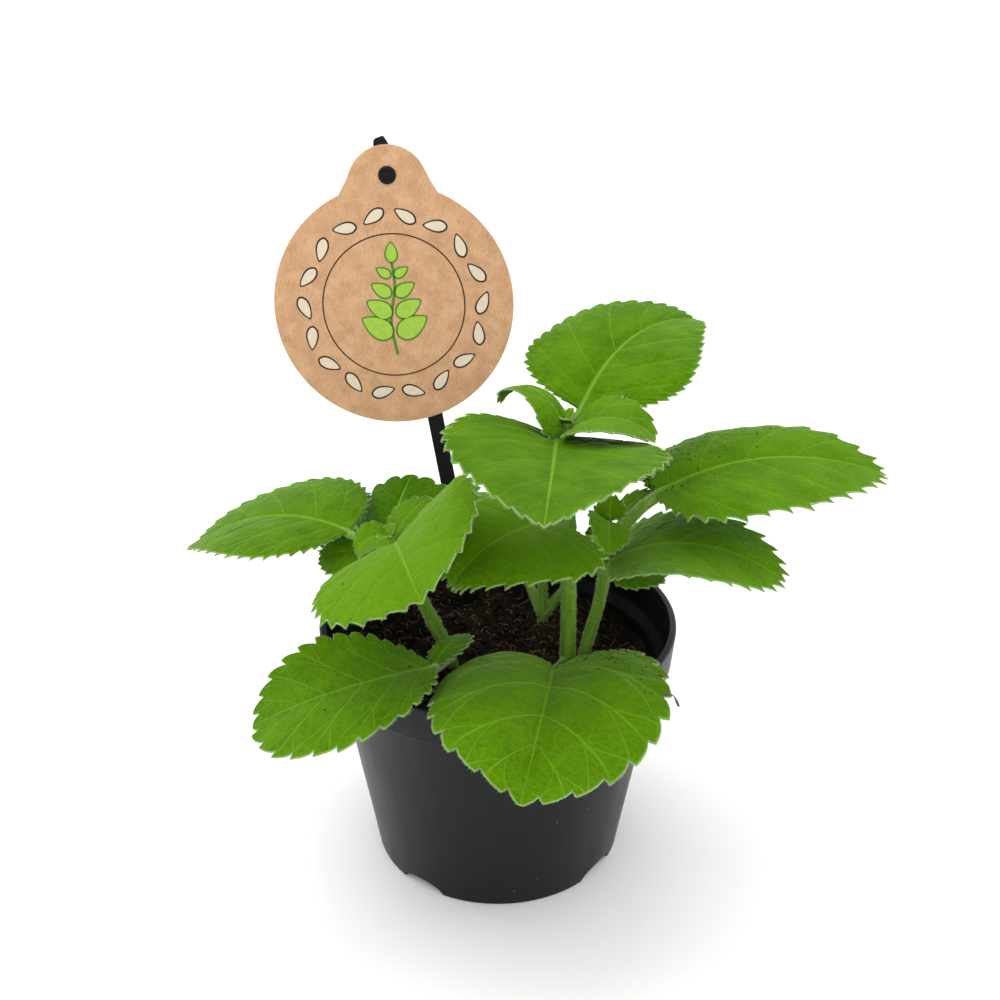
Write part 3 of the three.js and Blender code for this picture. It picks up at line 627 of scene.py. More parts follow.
# One blade: two faces of fine quads with veins, quilting and waves in them, joined by a rounded rim
def addLeaf(piece, leaf, seed):
    rng = np.random.default_rng(seed)
    across = leaf["across"]
    steps = (0, 0.22, 0.44, 0.62, 0.78, 0.86, 0.93)
    phases = [k + step for k in range(leaf["teeth"]) for step in steps]
    phases += [leaf["teeth"] + step for step in (0, 0.14, 0.28, 0.4, 0.5)]
    a = np.minimum(toothShare(leaf, np.array(phases)), 1)
    v = np.linspace(0, 1, across + 1) ** 0.85
    rim = toothedMargin(leaf, a * np.pi)
    rim[0], rim[-1] = (0, 0), (leaf["length"] + 0.5 * leaf["toothDepth"], 0)
    outer = rim + leftOf(unit(np.gradient(rim, axis=0))) * blade["rim"]
    outer[0], outer[-1] = rim[0], rim[-1] + (blade["rim"], 0)
    start = lineStart(leaf, a)
    plain = marginAt(leaf, a * np.pi)
    teeth = rim - plain
    rows, columns = len(a), across + 1
    size = min(1.0, leaf["width"] / 45)
    offset = rng.uniform(0, 3, 2)
    aa = np.repeat(a, columns)
    vv = np.tile(v, rows)
    x = (start[:, None] + (plain[:, :1] - start[:, None]) * v + teeth[:, :1] * v ** 7).ravel()
    # The leaf's tone setting with a little random spread: painted light and shade as well as the leaf's age
    fresh = leaf["fresh"] + rng.uniform(-0.05, 0.05)
    for sign in (1, -1):
        y = (plain[:, 1:] * v + teeth[:, 1:] * v ** 7).ravel() * sign
        place = veinPlace(leaf, aa, vv)
        local = 0.5 - np.abs(place % 1 - 0.5)
        midrib = np.exp(-(y / 1.3) ** 2)
        calm = np.sin(np.pi * np.clip(aa, 0, 0.985)) ** 0.7
        flat = np.stack([x, y, np.full_like(x, seed * 7.7)], -1)
        puff = blade["puff"] * (1 - np.exp(-(local / 0.13) ** 2)) * np.sin(np.pi * np.clip(vv, 0, 1)) ** 0.7
        pattern = softNoise(flat * [1, 0.7, 1], blade["quiltSize"], seed)
        quilt = blade["quilt"] * pattern * np.clip(np.abs(y) / 3, 0, 1)
        wave = blade["wave"] * softNoise(flat, blade["waveSize"], seed + 5) * vv ** 2
        swing = np.sin(leaf["teeth"] * aa ** toothSpread * np.pi * 2)
        ripple = blade["ripple"] * swing * vv ** 8 * np.clip(aa * 4, 0, 1)
        bumps = (puff + quilt + wave + ripple) * calm * np.clip(np.abs(y) / 2, 0, 1)
        move = size * (bumps - blade["groove"] * midrib)
        half = blade["half"] - blade["thinning"] * vv
        sideVein = blade["vein"] * np.exp(-(local / 0.06) ** 2) * (1 - vv)
        ridge = size * (sideVein + blade["midrib"] * midrib * (1 - x / leaf["length"]))
        upper = bladeAt(leaf, x, y, move + half).reshape(rows, columns, 3)
        under = bladeAt(leaf, x, y, move - half - ridge).reshape(rows, columns, 3)
        push = bladeAt(leaf, outer[:, 0], outer[:, 1] * sign, 0)
        push -= bladeAt(leaf, rim[:, 0], rim[:, 1] * sign, 0)
        middle = (upper[:, -1] + under[:, -1]) / 2 + push
        sheet = np.concatenate([upper, middle[:, None], under[:, ::-3]], axis=1)

        def around(values):
            values = values.reshape(rows, columns, -1)
            return np.concatenate([values, values[:, -1:], values[:, ::-3]], axis=1).reshape(-1, values.shape[2])

        taper = np.clip(1 - 0.8 * x / leaf["length"], 0.2, 1) * (0.35 + 0.65 * size)
        side = np.concatenate([np.zeros(columns), [0.5], np.ones(sheet.shape[1] - columns - 1)])
        piece.add(sheet.reshape(-1, 3), gridFaces(rows, sheet.shape[1], flip=sign < 0),
                  veinPlace=around(np.stack([place, vv * sign], -1)), flatPlace=around(flat[:, :2] * 0.01 + offset),
                  beneath=np.tile(side, rows), ribReach=around(np.abs(y) / taper)[:, 0], freshness=fresh,
                  veinShow=leaf["veinShow"])


# Stalk from the stem to the blade, then on under the midrib until it runs out
def addStalk(piece, leaf, seed):
    radius = 1.35 * leaf["stalk"]
    shares = np.array([0, 0.1, 0.22]) * leaf["length"]
    under = bladeAt(leaf, shares, np.full(3, 1e-6), -radius * 0.55)
    start = np.array(leaf["from"], float)
    sag = start * 0.45 + under[0] * 0.55 + [0, 0, leaf["arch"]]
    line = smoothLine([start, sag, *under], 26)
    t = np.linspace(0, 1, 26)
    thick = radius * (1 + 0.35 * np.exp(-(t / 0.12) ** 2) - 0.75 * np.clip((t - 0.5) / 0.5, 0, 1) ** 1.3)
    addRod(piece, line, thick, sides=12, wobble=0.04, seed=seed)
    return line, thick


# Hairs in mm: how many on each mm of a stem, a stalk or a leaf's margin, their length and thickness
hairs = {
    "onStem": 26, "onStalk": 30, "onMargin": 7, "stemLength": 1.0, "stalkLength": 0.8, "radius": 0.04,
    "leafRadius": 0.035,
}


# Short tapered hairs standing on lines of rods
def addHairs(piece, line, radius, perMm, length, seed):
    rng = np.random.default_rng(seed)
    step = np.linalg.norm(np.diff(line, axis=0), axis=1)
    total = step.sum()
    count = int(total * perMm)
    reach = np.concatenate([[0], step.cumsum()])
    where = rng.uniform(0.02, 0.98, count) * total
    centre = np.stack([np.interp(where, reach, line[:, i]) for i in range(3)], -1)
    thick = np.interp(where, reach, radius)
    tangent, side, up = lineFrames(line)
    index = np.clip(np.searchsorted(reach, where), 0, len(line) - 1)
    angle = rng.uniform(0, 2 * np.pi, count)
    out = np.cos(angle)[:, None] * side[index] + np.sin(angle)[:, None] * up[index]
    tips = out + tangent[index] * rng.uniform(-0.35, 0.35, count)[:, None] + rng.normal(0, 0.15, (count, 3))
    addCones(piece, centre + out * (thick * 0.93)[:, None], tips, length * rng.uniform(0.4, 1.15, count),
             hairs["radius"])


# Three-sided tapered cones, all in one go
def addCones(piece, roots, directions, lengths, radius):
    directions = unit(directions)
    helper = np.where(np.abs(directions[:, 2:]) < 0.8, [[0, 0, 1.0]], [[1.0, 0, 0]])
    side = unit(np.cross(directions, helper))
    up = np.cross(directions, side)
    points = []
    for k in range(3):
        turn = k / 3 * 2 * np.pi
        points.append(roots + radius * (math.cos(turn) * side + math.sin(turn) * up))
    points.append(roots + directions * lengths[:, None])
    grid = np.stack(points, 1).reshape(-1, 3)
    first = np.arange(len(roots))[:, None] * 4
    faces = np.concatenate([first + [0, 1, 3], first + [1, 2, 3], first + [2, 0, 3], first + [2, 1, 0]])
    piece.add(grid, faces)


# Pale hairs along a leaf's margin and over its midrib
def addLeafHairs(piece, leaf, seed):
    rng = np.random.default_rng(seed)
    span = math.pi * (leaf["length"] + leaf["width"]) / 4
    count = int(span * 2 * hairs["onMargin"])
    phi = rng.uniform(0.12, math.pi - 0.02, count)
    sign = rng.choice([-1.0, 1.0], count)
    rim = toothedMargin(leaf, phi)
    out = rim + leftOf(unit(toothedMargin(leaf, phi + 0.004) - rim)) * 0.8
    root = bladeAt(leaf, rim[:, 0], rim[:, 1] * sign, 0)
    tip = bladeAt(leaf, out[:, 0], out[:, 1] * sign, rng.uniform(-0.5, 0.5, count))
    addCones(piece, root, tip - root + rng.normal(0, 0.12, (count, 3)), rng.uniform(0.3, 0.85, count),
             hairs["leafRadius"])


# Soil: uneven peat top, with crumbs and brown fibres lying on it, and its walls as radius and height
soil = {
    "level": 72, "rim": 52.7, "walls": [(42.2, 9), (40.4, 5.0)], "rings": 74, "sides": 190, "crumbs": 2400,
    "crumbReach": 51, "fibres": 520, "fibreReach": 49, "edge": 51.5,
}

for number, (name, cutting) in enumerate(cuttings.items()):
    blades, stalks, down = Piece(), Piece(), Piece()
    stemLine = smoothLine(cutting["stem"], 70)
    t = np.linspace(0, 1, 70)
    stemRadius = cutting["radius"] * (1.04 - 0.22 * t ** 3)
    for height in np.unique([round(item["from"][2] / 6) for item in cutting["leaves"]]):
        stemRadius = stemRadius + 0.28 * np.exp(-((stemLine[:, 2] - height * 6) / 1.6) ** 2) * cutting["radius"] / 2.2
    addRod(stalks, stemLine, stemRadius, sides=20, square=0.06, wobble=0.03, seed=number)
    above = stemLine[:, 2] > soil["level"]
    addHairs(down, stemLine[above], stemRadius[above], hairs["onStem"], hairs["stemLength"], 40 + number)
    for k, item in enumerate(cutting["leaves"]):
        seed = number * 20 + k + 1
        addLeaf(blades, item, seed)
        stalkLine, stalkRadius = addStalk(stalks, item, seed)
        free = 16  # samples of the stalk before it runs along the blade
        addHairs(down, stalkLine[:free], stalkRadius[:free], hairs["onStalk"] * item["stalk"],
                 hairs["stalkLength"] * item["stalk"], seed)
        addLeafHairs(down, item, 500 + seed)
    node = "cutting_" + name
    blades.build(name + "_leaves", leafGreen, "leaf", [node], weld=0.002)
    stalks.build(name + "_stems", stemGreen, "leaf")
    down.build(name + "_hairs", whiteHair, "leaf")
    print(node, "done")


def soilHeight(x, y):
    slope = -0.03 * x + 0.01 * y
    lumps = 0.9 * np.sin(x * 0.16 + 0.8) * np.cos(y * 0.19 - 0.4)
    grain = 0.6 * np.sin(x * 0.37 - y * 0.29)
    hollow = -3 * np.exp(-((x - 38) / 12) ** 2 - ((y - 4) / 16) ** 2)
    return np.minimum(soil["level"] + slope + lumps + grain + hollow, soil["level"] + 1.5)


def roughSoil(x, y):
    flat = np.stack([x, y, np.zeros_like(x)], -1)
    rough = 1.3 * softNoise(flat, 7, 3) + 0.9 * softNoise(flat, 3.1, 4) + 0.55 * softNoise(flat, 1.4, 5)
    fade = np.clip((soil["rim"] - np.hypot(x, y)) / 3, 0.2, 1)
    return soilHeight(x, y) + rough * fade - 0.5


def soilAt(x, y):
    return float(roughSoil(np.array([x]), np.array([y]))[0])


def soilFinish():
    f = Finish("peat", 0.95, Specular_IOR_Level=0.08)
    place = f.place()
    broad = f.noise(place, 90, 5)
    fine = f.noise(place, 900, 4)
    speck = f.cells(place, 700, 0.0, 0.28)
    grain = f.cells(place, 420, 0.0, 0.22)
    some = f.step(f.noise(place, 210, 2), 0.50, 0.60)
    color = f.blend(f.step(broad, 0.35, 0.70), (0.0030, 0.0022, 0.0015), (0.018, 0.0110, 0.0060))
    color = f.tint(color, f.step(fine, 0.55, 0.72), 0.50, (0.075, 0.048, 0.025))
    color = f.tint(color, speck, 0.18, (0.09, 0.062, 0.036))
    color = f.tint(color, f.times(grain, some), 0.75, (0.22, 0.155, 0.080))
    normal = f.bump(f.math("ADD", fine, f.times(speck, 0.4)), 0.9, 0.0008)
    return f.finish(color, None, normal)


def fibreFinish():
    f = Finish("peat_fibre", 0.85)
    tone = f.noise(f.place(), 260, 3)
    return f.finish(f.blend(tone, (0.03, 0.019, 0.010), (0.20, 0.130, 0.065)))


peat = soilFinish()
fibre = fibreFinish()
body = Piece()
rings, sides = soil["rings"], soil["sides"]
radii = soil["rim"] * np.linspace(0, 1, rings + 1)[1:] ** 0.85
angle = np.arange(sides) / sides * 2 * np.pi
gx = (radii[:, None] * np.cos(angle)).ravel()
gy = (radii[:, None] * np.sin(angle)).ravel()
top = np.stack([gx, gy, roughSoil(gx, gy)], -1)
lower = [np.stack([r * np.cos(angle), r * np.sin(angle), np.full(sides, float(z))], -1) for r, z in soil["walls"]]
points = np.vstack([top, *lower, [[0, 0, soilAt(0, 0)]], [[0, 0, soil["walls"][-1][1]]]])
body.add(points, tubeFaces(rings + 2, sides, flip=True))
body.build("soil_body", peat, "soil", ["soil"])

crumbs = Piece()
rng = np.random.default_rng(8)
golden = (1 + 5 ** 0.5) / 2
ico = np.array([(-1, golden, 0), (1, golden, 0), (-1, -golden, 0), (1, -golden, 0), (0, -1, golden),
                (0, 1, golden), (0, -1, -golden), (0, 1, -golden), (golden, 0, -1), (golden, 0, 1),
                (-golden, 0, -1), (-golden, 0, 1)]) / math.hypot(1, golden)
icoFaces = [(0, 11, 5), (0, 5, 1), (0, 1, 7), (0, 7, 10), (0, 10, 11), (1, 5, 9), (5, 11, 4), (11, 10, 2),
            (10, 7, 6), (7, 1, 8), (3, 9, 4), (3, 4, 2), (3, 2, 6), (3, 6, 8), (3, 8, 9), (4, 9, 5),
            (2, 4, 11), (6, 2, 10), (8, 6, 7), (9, 8, 1)]


# A lumpy crumb around a spot, squashed and turned at random
def addCrumb(piece, spot, size, rng):
    shape = ico * rng.uniform(0.65, 1.25, (12, 1)) * size * rng.uniform([0.7, 0.5, 0.45], [1.3, 1.0, 0.8])
    turn = rng.uniform(0, 2 * np.pi)
    c, s = math.cos(turn), math.sin(turn)
    piece.add(shape @ np.array([[c, s, 0], [-s, c, 0], [0, 0, 1]]) + spot, icoFaces)


for _ in range(soil["crumbs"]):
    r, turn = soil["crumbReach"] * math.sqrt(rng.uniform()), rng.uniform(0, 2 * math.pi)
    x, y = r * math.cos(turn), r * math.sin(turn)
    size = rng.choice([0.4, 0.65, 1.0, 1.6], p=[0.45, 0.33, 0.17, 0.05])
    addCrumb(crumbs, (x, y, soilAt(x, y) + size * 0.15), size, rng)
crumbs.build("soil_crumbs", peat, "soil", sharp=50)

fibres = Piece()
for k in range(soil["fibres"]):
    r, turn = soil["fibreReach"] * math.sqrt(rng.uniform()), rng.uniform(0, 2 * math.pi)
    heading, length = rng.uniform(0, 2 * math.pi), rng.uniform(1.0, 5.0)
    t = np.linspace(-0.5, 0.5, 9)
    bend = rng.uniform(-1.5, 1.5)
    x = r * math.cos(turn) + length * t * np.cos(heading + bend * t)
    y = r * math.sin(turn) + length * t * np.sin(heading + bend * t)
    keep = np.minimum(1, soil["edge"] / np.maximum(np.hypot(x, y), 1e-6))
    x, y = x * keep, y * keep
    z = roughSoil(x, y) + 0.35 + rng.uniform(0, 0.9) * np.cos(t * np.pi)
    thick = rng.uniform(0.08, 0.17) * (1 - 1.4 * t ** 2)
    addRod(fibres, np.stack([x, y, z], -1), thick, sides=5)
fibres.build("soil_fibres", fibre, "soil")

# Crumbs of peat splashed on leaves: cutting, number of the leaf, how many, and where they lie as shares of the
# way from base to tip along the margin and from the midrib out to the left margin
splashes = [
    ("right", 0, 190, (0.05, 0.60), (-0.15, 0.92)), ("tall", 0, 110, (0.12, 0.46), (-0.2, 0.8)),
    ("tall", 0, 90, (0.20, 0.52), (0.3, 0.92)), ("tall", 2, 16, (0.1, 0.35), (0.72, 0.97)),
    ("left", 1, 6, (0.1, 0.8), (-0.7, 0.7)), ("left", 3, 14, (0.1, 0.8), (-0.8, 0.8)),
]


def addSplash(piece, name, number, count, along, sideways, rng):
    item = cuttings[name]["leaves"][number]
    mesh = bpy.data.objects[name + "_leaves"].data
    corners = [v.co / mm for v in mesh.vertices]
    tree = BVHTree.FromPolygons(corners, [tuple(face.vertices) for face in mesh.polygons])
    a, v = rng.uniform(*along, count), rng.uniform(*sideways, count)
    edge, start = marginAt(item, a * np.pi), lineStart(item, a)
    x, y = start + (edge[:, 0] - start) * np.abs(v), edge[:, 1] * v
    above, below = bladeAt(item, x, y, 3), bladeAt(item, x, y, -3)
    for start, end, size in zip(above, below, rng.uniform(0.16, 0.42, count) ** 1.1):
        hit = tree.ray_cast(start, end - start, 5)[0]
        if hit is not None:
            addCrumb(piece, np.array(hit) + (start - end) / 6 * size * 0.25, size, rng)


crumbs = Piece()
for splash in splashes:
    addSplash(crumbs, *splash, rng)
crumbs.build("leaf_crumbs", peat, "soil", sharp=50)

# Two bits of dark root caught on the edge of the low front leaf
roots = Piece()
for place, reach in ((1.50, (4.5, -1.5, -3.2)), (1.28, (1.6, 0.4, -1.4))):
    item = cuttings["tall"]["leaves"][0]
    edge = toothedMargin(item, np.array([place]))
    start = bladeAt(item, edge[:, 0], edge[:, 1] - 0.6, 0.4)[0]
    middle = start + np.array([reach[0] * 0.6, reach[1] * 0.5, 0.1])
    line = smoothLine([start, middle, start + np.array(reach)], 14)
    addRod(roots, line, 0.30 + 0.14 * np.sin(np.linspace(0, 9, 14)), sides=7, wobble=0.2, seed=3)
roots.build("caught_roots", fibre, "soil")
print("soil done")

# Pot: the same moulded shell with rounded edges, cut notches and drain holes
pot = {
    "rim": 60, "height": 88, "foot": 43, "band": 14, "step": 3.6, "lip": 2.3, "wall": 1.3, "floor": 4.6,
    "footHeight": 3, "notches": 4, "notchWidth": 17, "notchHeight": 4.4, "notchTurn": -37, "drains": 8,
    "drainRadius": 3.5, "drainRing": 27, "sides": 160,
}


# Rounds the corners of an outline with short arcs
def roundCorners(outline, radius):
    outline = [np.array(p, float) for p in outline]
    rounded = [outline[0]]
    for before, corner, after in zip(outline, outline[1:], outline[2:]):
        a, b = before - corner, after - corner
        reach = min(radius, np.linalg.norm(a) * 0.45, np.linalg.norm(b) * 0.45)
        start = corner + a / np.linalg.norm(a) * reach
        end = corner + b / np.linalg.norm(b) * reach
        for t in np.linspace(0, 1, 5):
            rounded.append((1 - t) ** 2 * start + 2 * t * (1 - t) * corner + t * t * end)
    rounded.append(outline[-1])
    return np.array(rounded)


def potFinish():
    f = Finish("charcoal_plastic", 0.42, Specular_IOR_Level=0.20, Specular_Tint=(0.92, 1.0, 0.98, 1))
    place = f.place()
    grain = f.noise(place, 1500, 3)
    broad = f.noise(place, 35, 4)
    scuff = f.noise(place, 120, 5, stretch=(1, 1, 0.15))
    dust = f.times(f.cells(place, 210, 0.02, 0.075), f.step(f.noise(place, 55, 2), 0.55, 0.62))
    color = f.blend(broad, (0.0022, 0.0031, 0.0032), (0.0046, 0.0058, 0.0060))
    color = f.tint(color, dust, 0.6, (0.35, 0.33, 0.30))
    rough = f.math("MULTIPLY_ADD", scuff, 0.22, 0.30)
    rough = f.math("MULTIPLY_ADD", dust, 0.4, rough, clamp=True)
    normal = f.bump(grain, 0.12, 0.0003)
    return f.finish(color, rough, normal)


def shellPoints(pot):
    bottom = pot["height"] - pot["band"]
    bandRadius = pot["rim"] - 1.2
    shoulder = bandRadius - pot["step"]
    foot, lip = pot["foot"], pot["lip"]
    outline = [
        (7, 0), (8.5, pot["footHeight"]), (foot - 4.5, pot["footHeight"]), (foot - 3.2, 0), (foot - 0.5, 0),
        (foot, 0.6), (foot + 1.2, 8), (foot + 1.35, 9), (shoulder, bottom), (bandRadius, bottom + 0.6),
        (pot["rim"], pot["height"] - 0.7), (pot["rim"] - 0.6, pot["height"]), (pot["rim"] - lip, pot["height"]),
        (bandRadius - lip, bottom + 2), (shoulder - pot["wall"], bottom - 2), (foot - 0.2, 9),
        (foot - 1.8, pot["floor"]), (30, pot["floor"]),
    ]
    return roundCorners(outline, 0.7)


def tubeCutter(radius, length, axisTurn, squash, centre, sides=28):
    t = np.arange(sides) / sides * 2 * np.pi
    ends = []
    for reach in (-length / 2, length / 2):
        across = radius * np.cos(t)
        high = radius * squash * np.sin(t)
        c, s = math.cos(axisTurn), math.sin(axisTurn)
        ends.append(np.stack([reach * c - across * s, reach * s + across * c, high], -1) + centre)
    faces = gridFaces(2, sides, closed=True) + [tuple(range(sides))[::-1], tuple(range(sides, 2 * sides))]
    return np.vstack(ends), faces


# Cuts one piece with another and gives the cut mesh
def cutWith(piece, cutters):
    obj = addObject("pot_blank", piece.mesh("pot_blank"))
    modifier = obj.modifiers.new("cut", "BOOLEAN")
    modifier.operation = "DIFFERENCE"
    modifier.solver = "EXACT"
    modifier.object = addObject("pot_cutters", cutters.mesh("pot_cutters"))
    depsgraph = bpy.context.evaluated_depsgraph_get()
    mesh = bpy.data.meshes.new_from_object(obj.evaluated_get(depsgraph))
    bpy.data.objects.remove(modifier.object)
    bpy.data.objects.remove(obj)
    return mesh


def makePot():
    profile = shellPoints(pot)
    sides = pot["sides"]
    t = np.arange(sides) / sides * 2 * np.pi
    ring = np.stack([
        profile[:, None, 0] * np.cos(t), profile[:, None, 0] * np.sin(t),
        np.broadcast_to(profile[:, None, 1], (len(profile), sides)),
    ], -1).reshape(-1, 3)
    points = np.vstack([ring, [[0, 0, 0]], [[0, 0, pot["floor"]]]])
    blank, cutters, reach = Piece(), Piece(), pot["notchWidth"] / 2
    blank.add(points, tubeFaces(len(profile), sides))
    for i in range(pot["notches"]):
        turn = math.radians(pot["notchTurn"] + i * 360 / pot["notches"])
        centre = np.array([math.cos(turn), math.sin(turn), 0]) * (pot["foot"] + 0.6)
        cutters.add(*tubeCutter(reach, 12, turn, pot["notchHeight"] / reach, centre))
    for i in range(pot["drains"]):
        turn = (i + 0.5) / pot["drains"] * 2 * math.pi
        p, f = tubeCutter(pot["drainRadius"], 12, 0, 1, np.zeros(3), 32)
        p = p[:, [1, 2, 0]] + [pot["drainRing"] * math.cos(turn), pot["drainRing"] * math.sin(turn), 4]
        cutters.add(p, f)
    mesh = cutWith(blank, cutters)
    mesh.name = "pot_shell"
    mesh.shade_smooth()
    mesh.set_sharp_from_angle(angle=math.radians(38))
    mesh.materials.clear()
    mesh.materials.append(potFinish())
    obj = addObject("pot_shell", mesh)
    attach(obj, "root")
    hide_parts("pot")


makePot()
print("pot done")

# Label: stake and card share a frame, Y up the stake and Z out of its front face
label = {
    "foot": (-1.1, 32.1, 24), "leanLeft": 10.1, "leanBack": 8.1, "width": 5.4, "thick": 2, "length": 216.8,
    "pegHeight": 204, "peg": 2.75, "collar": 4.3, "hollow": 1.75,
}
card = {
    "radius": 41, "thick": 0.9, "hole": 2.95, "holeHeight": 43.5, "tab": 13.6, "tabHeight": 39.9,
    "tilt": -8.4, "shoulder": 65.8, "neck": 24,
}


def turnMatrix(angleX, angleZ):
    cx, sx = math.cos(angleX), math.sin(angleX)
    cz, sz = math.cos(angleZ), math.sin(angleZ)
    aboutX = np.array([[1, 0, 0], [0, cx, -sx], [0, sx, cx]])
    aboutZ = np.array([[cz, -sz, 0], [sz, cz, 0], [0, 0, 1]])
    return aboutX @ aboutZ


labelTurn = turnMatrix(math.radians(90 - label["leanBack"]), math.radians(label["leanLeft"]))
cardTurn = turnMatrix(0, math.radians(card["tilt"]))
cardShift = np.array([
    card["holeHeight"] * math.sin(math.radians(card["tilt"])),
    label["pegHeight"] - card["holeHeight"] * math.cos(math.radians(card["tilt"])),
    label["thick"] + 0.35,
])


def onStake(points):
    return np.asarray(points, float) @ labelTurn.T + np.array(label["foot"])


def onCard(points):
    return onStake(np.asarray(points, float) @ cardTurn.T + cardShift)


def stakeFinish():
    f = Finish("black_plastic", 0.38, Specular_IOR_Level=0.16)
    place = f.place()
    scuff = f.noise(place, 90, 5, stretch=(1, 1, 0.2))
    color = f.blend(scuff, (0.002, 0.002, 0.0024), (0.007, 0.007, 0.008))
    rough = f.math("MULTIPLY_ADD", scuff, 0.3, 0.25)
    return f.finish(color, rough, f.bump(f.noise(place, 1400, 3), 0.12, 0.0002))


def kraftFinish():
    f = Finish("kraft_card", 0.86, Specular_IOR_Level=0.25, Sheen_Weight=0.08)
    place = f.layer("cardPlace")
    cloud = f.noise(place, 16, 5)
    fleck = f.noise(place, 130, 4, 0.65, stretch=(1, 1.9, 1))
    thread = f.noise(place, 60, 6, 0.7, stretch=(3.2, 0.7, 1))
    spot = f.cells(place, 70, 0.03, 0.12, "2D")
    color = f.blend(f.step(cloud, 0.3, 0.7), (0.50, 0.275, 0.140), (0.63, 0.370, 0.205))
    color = f.tint(color, f.step(fleck, 0.5, 0.68), 0.50, (0.70, 0.49, 0.32))
    color = f.tint(color, f.step(thread, 0.52, 0.64), 0.60, (0.37, 0.21, 0.115))
    color = f.tint(color, spot, 0.24, (0.2, 0.11, 0.06))
    normal = f.bump(f.math("ADD", fleck, thread), 0.22, 0.0003)
    return f.finish(color, None, normal)


def inkFinish(name, dark, light, roughness):
    f = Finish(name, roughness, Specular_IOR_Level=0.25)
    return f.finish(f.blend(f.noise(f.place(), 700, 3), dark, light))


# Solid of an outline given in local XY, with softened edges and open holes, between two heights
def slab(outline, low, high, inset=0.0, holes=()):
    levels = [(low, inset), (low + inset, 0), (high - inset, 0), (high, inset)] if inset else [(low, 0), (high, 0)]
    points, faces, starts, total = [], [], [], 0
    for loop in (outline, *holes):
        loop = np.asarray(loop, float)
        n = len(loop)
        inward = leftOf(unit(np.roll(loop, -1, axis=0) - np.roll(loop, 1, axis=0)))
        points += [np.column_stack([loop + inward * pull, np.full(n, z)]) for z, pull in levels]
        faces += [tuple(total + i for i in face) for face in gridFaces(len(levels), n, closed=True)]
        starts.append((total, n))
        total += n * len(levels)
    points = np.vstack(points)
    for level in (0, len(levels) - 1):
        rings = [range(start + level * n, start + (level + 1) * n) for start, n in starts]
        order = [i for ring in rings for i in ring]
        for corners in tessellate_polygon([[tuple(points[i]) for i in ring] for ring in rings]):
            a, b, c = (order[i] for i in corners)
            rising = np.cross(points[b] - points[a], points[c] - points[a])[2] > 0
            faces.append((a, b, c) if rising == (level > 0) else (a, c, b))
    return points, faces


def arc(centre, radius, first, last, count):
    t = np.radians(np.linspace(first, last, count))
    return np.stack([centre[0] + radius * np.cos(t), centre[1] + radius * np.sin(t)], -1)


def circle(centre, radius, sides=40):
    return arc(centre, radius, 0, 360, sides + 1)[:-1]


# The same the other way round, for a hole
def roundHole(centre, radius, sides=40):
    return arc(centre, radius, 360, 0, sides + 1)[:-1]


def cardOutline():
    r, flare = card["radius"], card["shoulder"]
    shoulder = np.array([r * math.cos(math.radians(flare)), r * math.sin(math.radians(flare))])
    neckTurn = math.radians(card["neck"])
    neck = np.array([card["tab"] * math.cos(neckTurn), card["tabHeight"] + card["tab"] * math.sin(neckTurn)])
    disc = arc((0, 0), r, 180 - flare, 360 + flare, 150)
    t = np.linspace(0, 1, 12)[1:-1, None]
    bend = np.array([neck[0] + 2.2, shoulder[1] + 3.2])
    right = (1 - t) ** 2 * shoulder + 2 * t * (1 - t) * bend + t * t * neck
    tab = arc((0, card["tabHeight"]), card["tab"], card["neck"], 180 - card["neck"], 50)
    left = right[::-1] * [-1, 1]
    return np.vstack([disc, right, tab, left])


def makeLabel():
    half = label["width"] / 2
    top = label["length"]
    outline = roundCorners([
        (0, 0), (half, 10), (half, top - 4), (half * 0.4, top), (-half * 0.8, top - 0.6), (-half, top - 2),
        (-half, 10), (0, 0),
    ], 0.8)[:-1]
    rib = np.array([(-0.7, 18), (0.7, 18), (0.7, top - 20.5), (-0.7, top - 20.5)])
    back, front, middle = label["thick"], label["thick"] + card["thick"], (0, label["pegHeight"])
    peg = circle(middle, label["peg"])
    stake = Piece()
    for shape in (
        (outline, 0, back, 0.25), (rib, -1.2, 0.1, 0.2), (peg, back - 0.5, front + 0.9, 0.2),
        (circle(middle, label["collar"]), back - 0.1, back + 0.3, 0.1),
        (peg, front + 0.8, front + 1.6, 0.25, [roundHole(middle, label["hollow"])]),
    ):
        points, faces = slab(*shape)
        stake.add(onStake(points), faces)
    stake.build("stake_strip", stakeFinish(), "stake_plastic", ["label_stake"], sharp=40)

    sheet = Piece()
    hole = roundHole((0, card["holeHeight"]), card["hole"])
    points, faces = slab(cardOutline(), 0, card["thick"], 0.12, [hole])
    sheet.add(onCard(points), faces, cardPlace=points[:, :2] * 0.01)
    sheet.build("card_disc", kraftFinish(), "card", ["label_card"], sharp=40)


makeLabel()

# Printed motif: a ring of small outlined leaves around a green sprig
motif = {"ringRadius": 30.5, "ringLeaves": 18, "lineRadius": 24.5, "lift": 0.06}


def addPrint(piece, outline, low=0.0, high=motif["lift"], holes=()):
    base = card["thick"] + low
    points, faces = slab(outline, base, base + high, 0, holes)
    piece.add(onCard(points), faces)


def smallLeaf(centre, turn, length, width):
    t = np.linspace(0, 2 * np.pi, 27)[:-1]
    x = length / 2 * -np.cos(t)
    y = width / 2 * np.sin(t) * (1 - 0.35 * np.cos(t + np.pi)) * np.abs(np.sin(t)) ** 0.25
    c, s = math.cos(turn), math.sin(turn)
    return np.stack([centre[0] + x * c + y * s, centre[1] + x * s - y * c], -1)


# A leaf with a smaller one lying on it
def addLeafPrint(under, over, spot, turn, size, inner):
    addPrint(under, smallLeaf(spot, turn, *size))
    addPrint(over, smallLeaf(spot, turn, *inner), motif["lift"], 0.03)


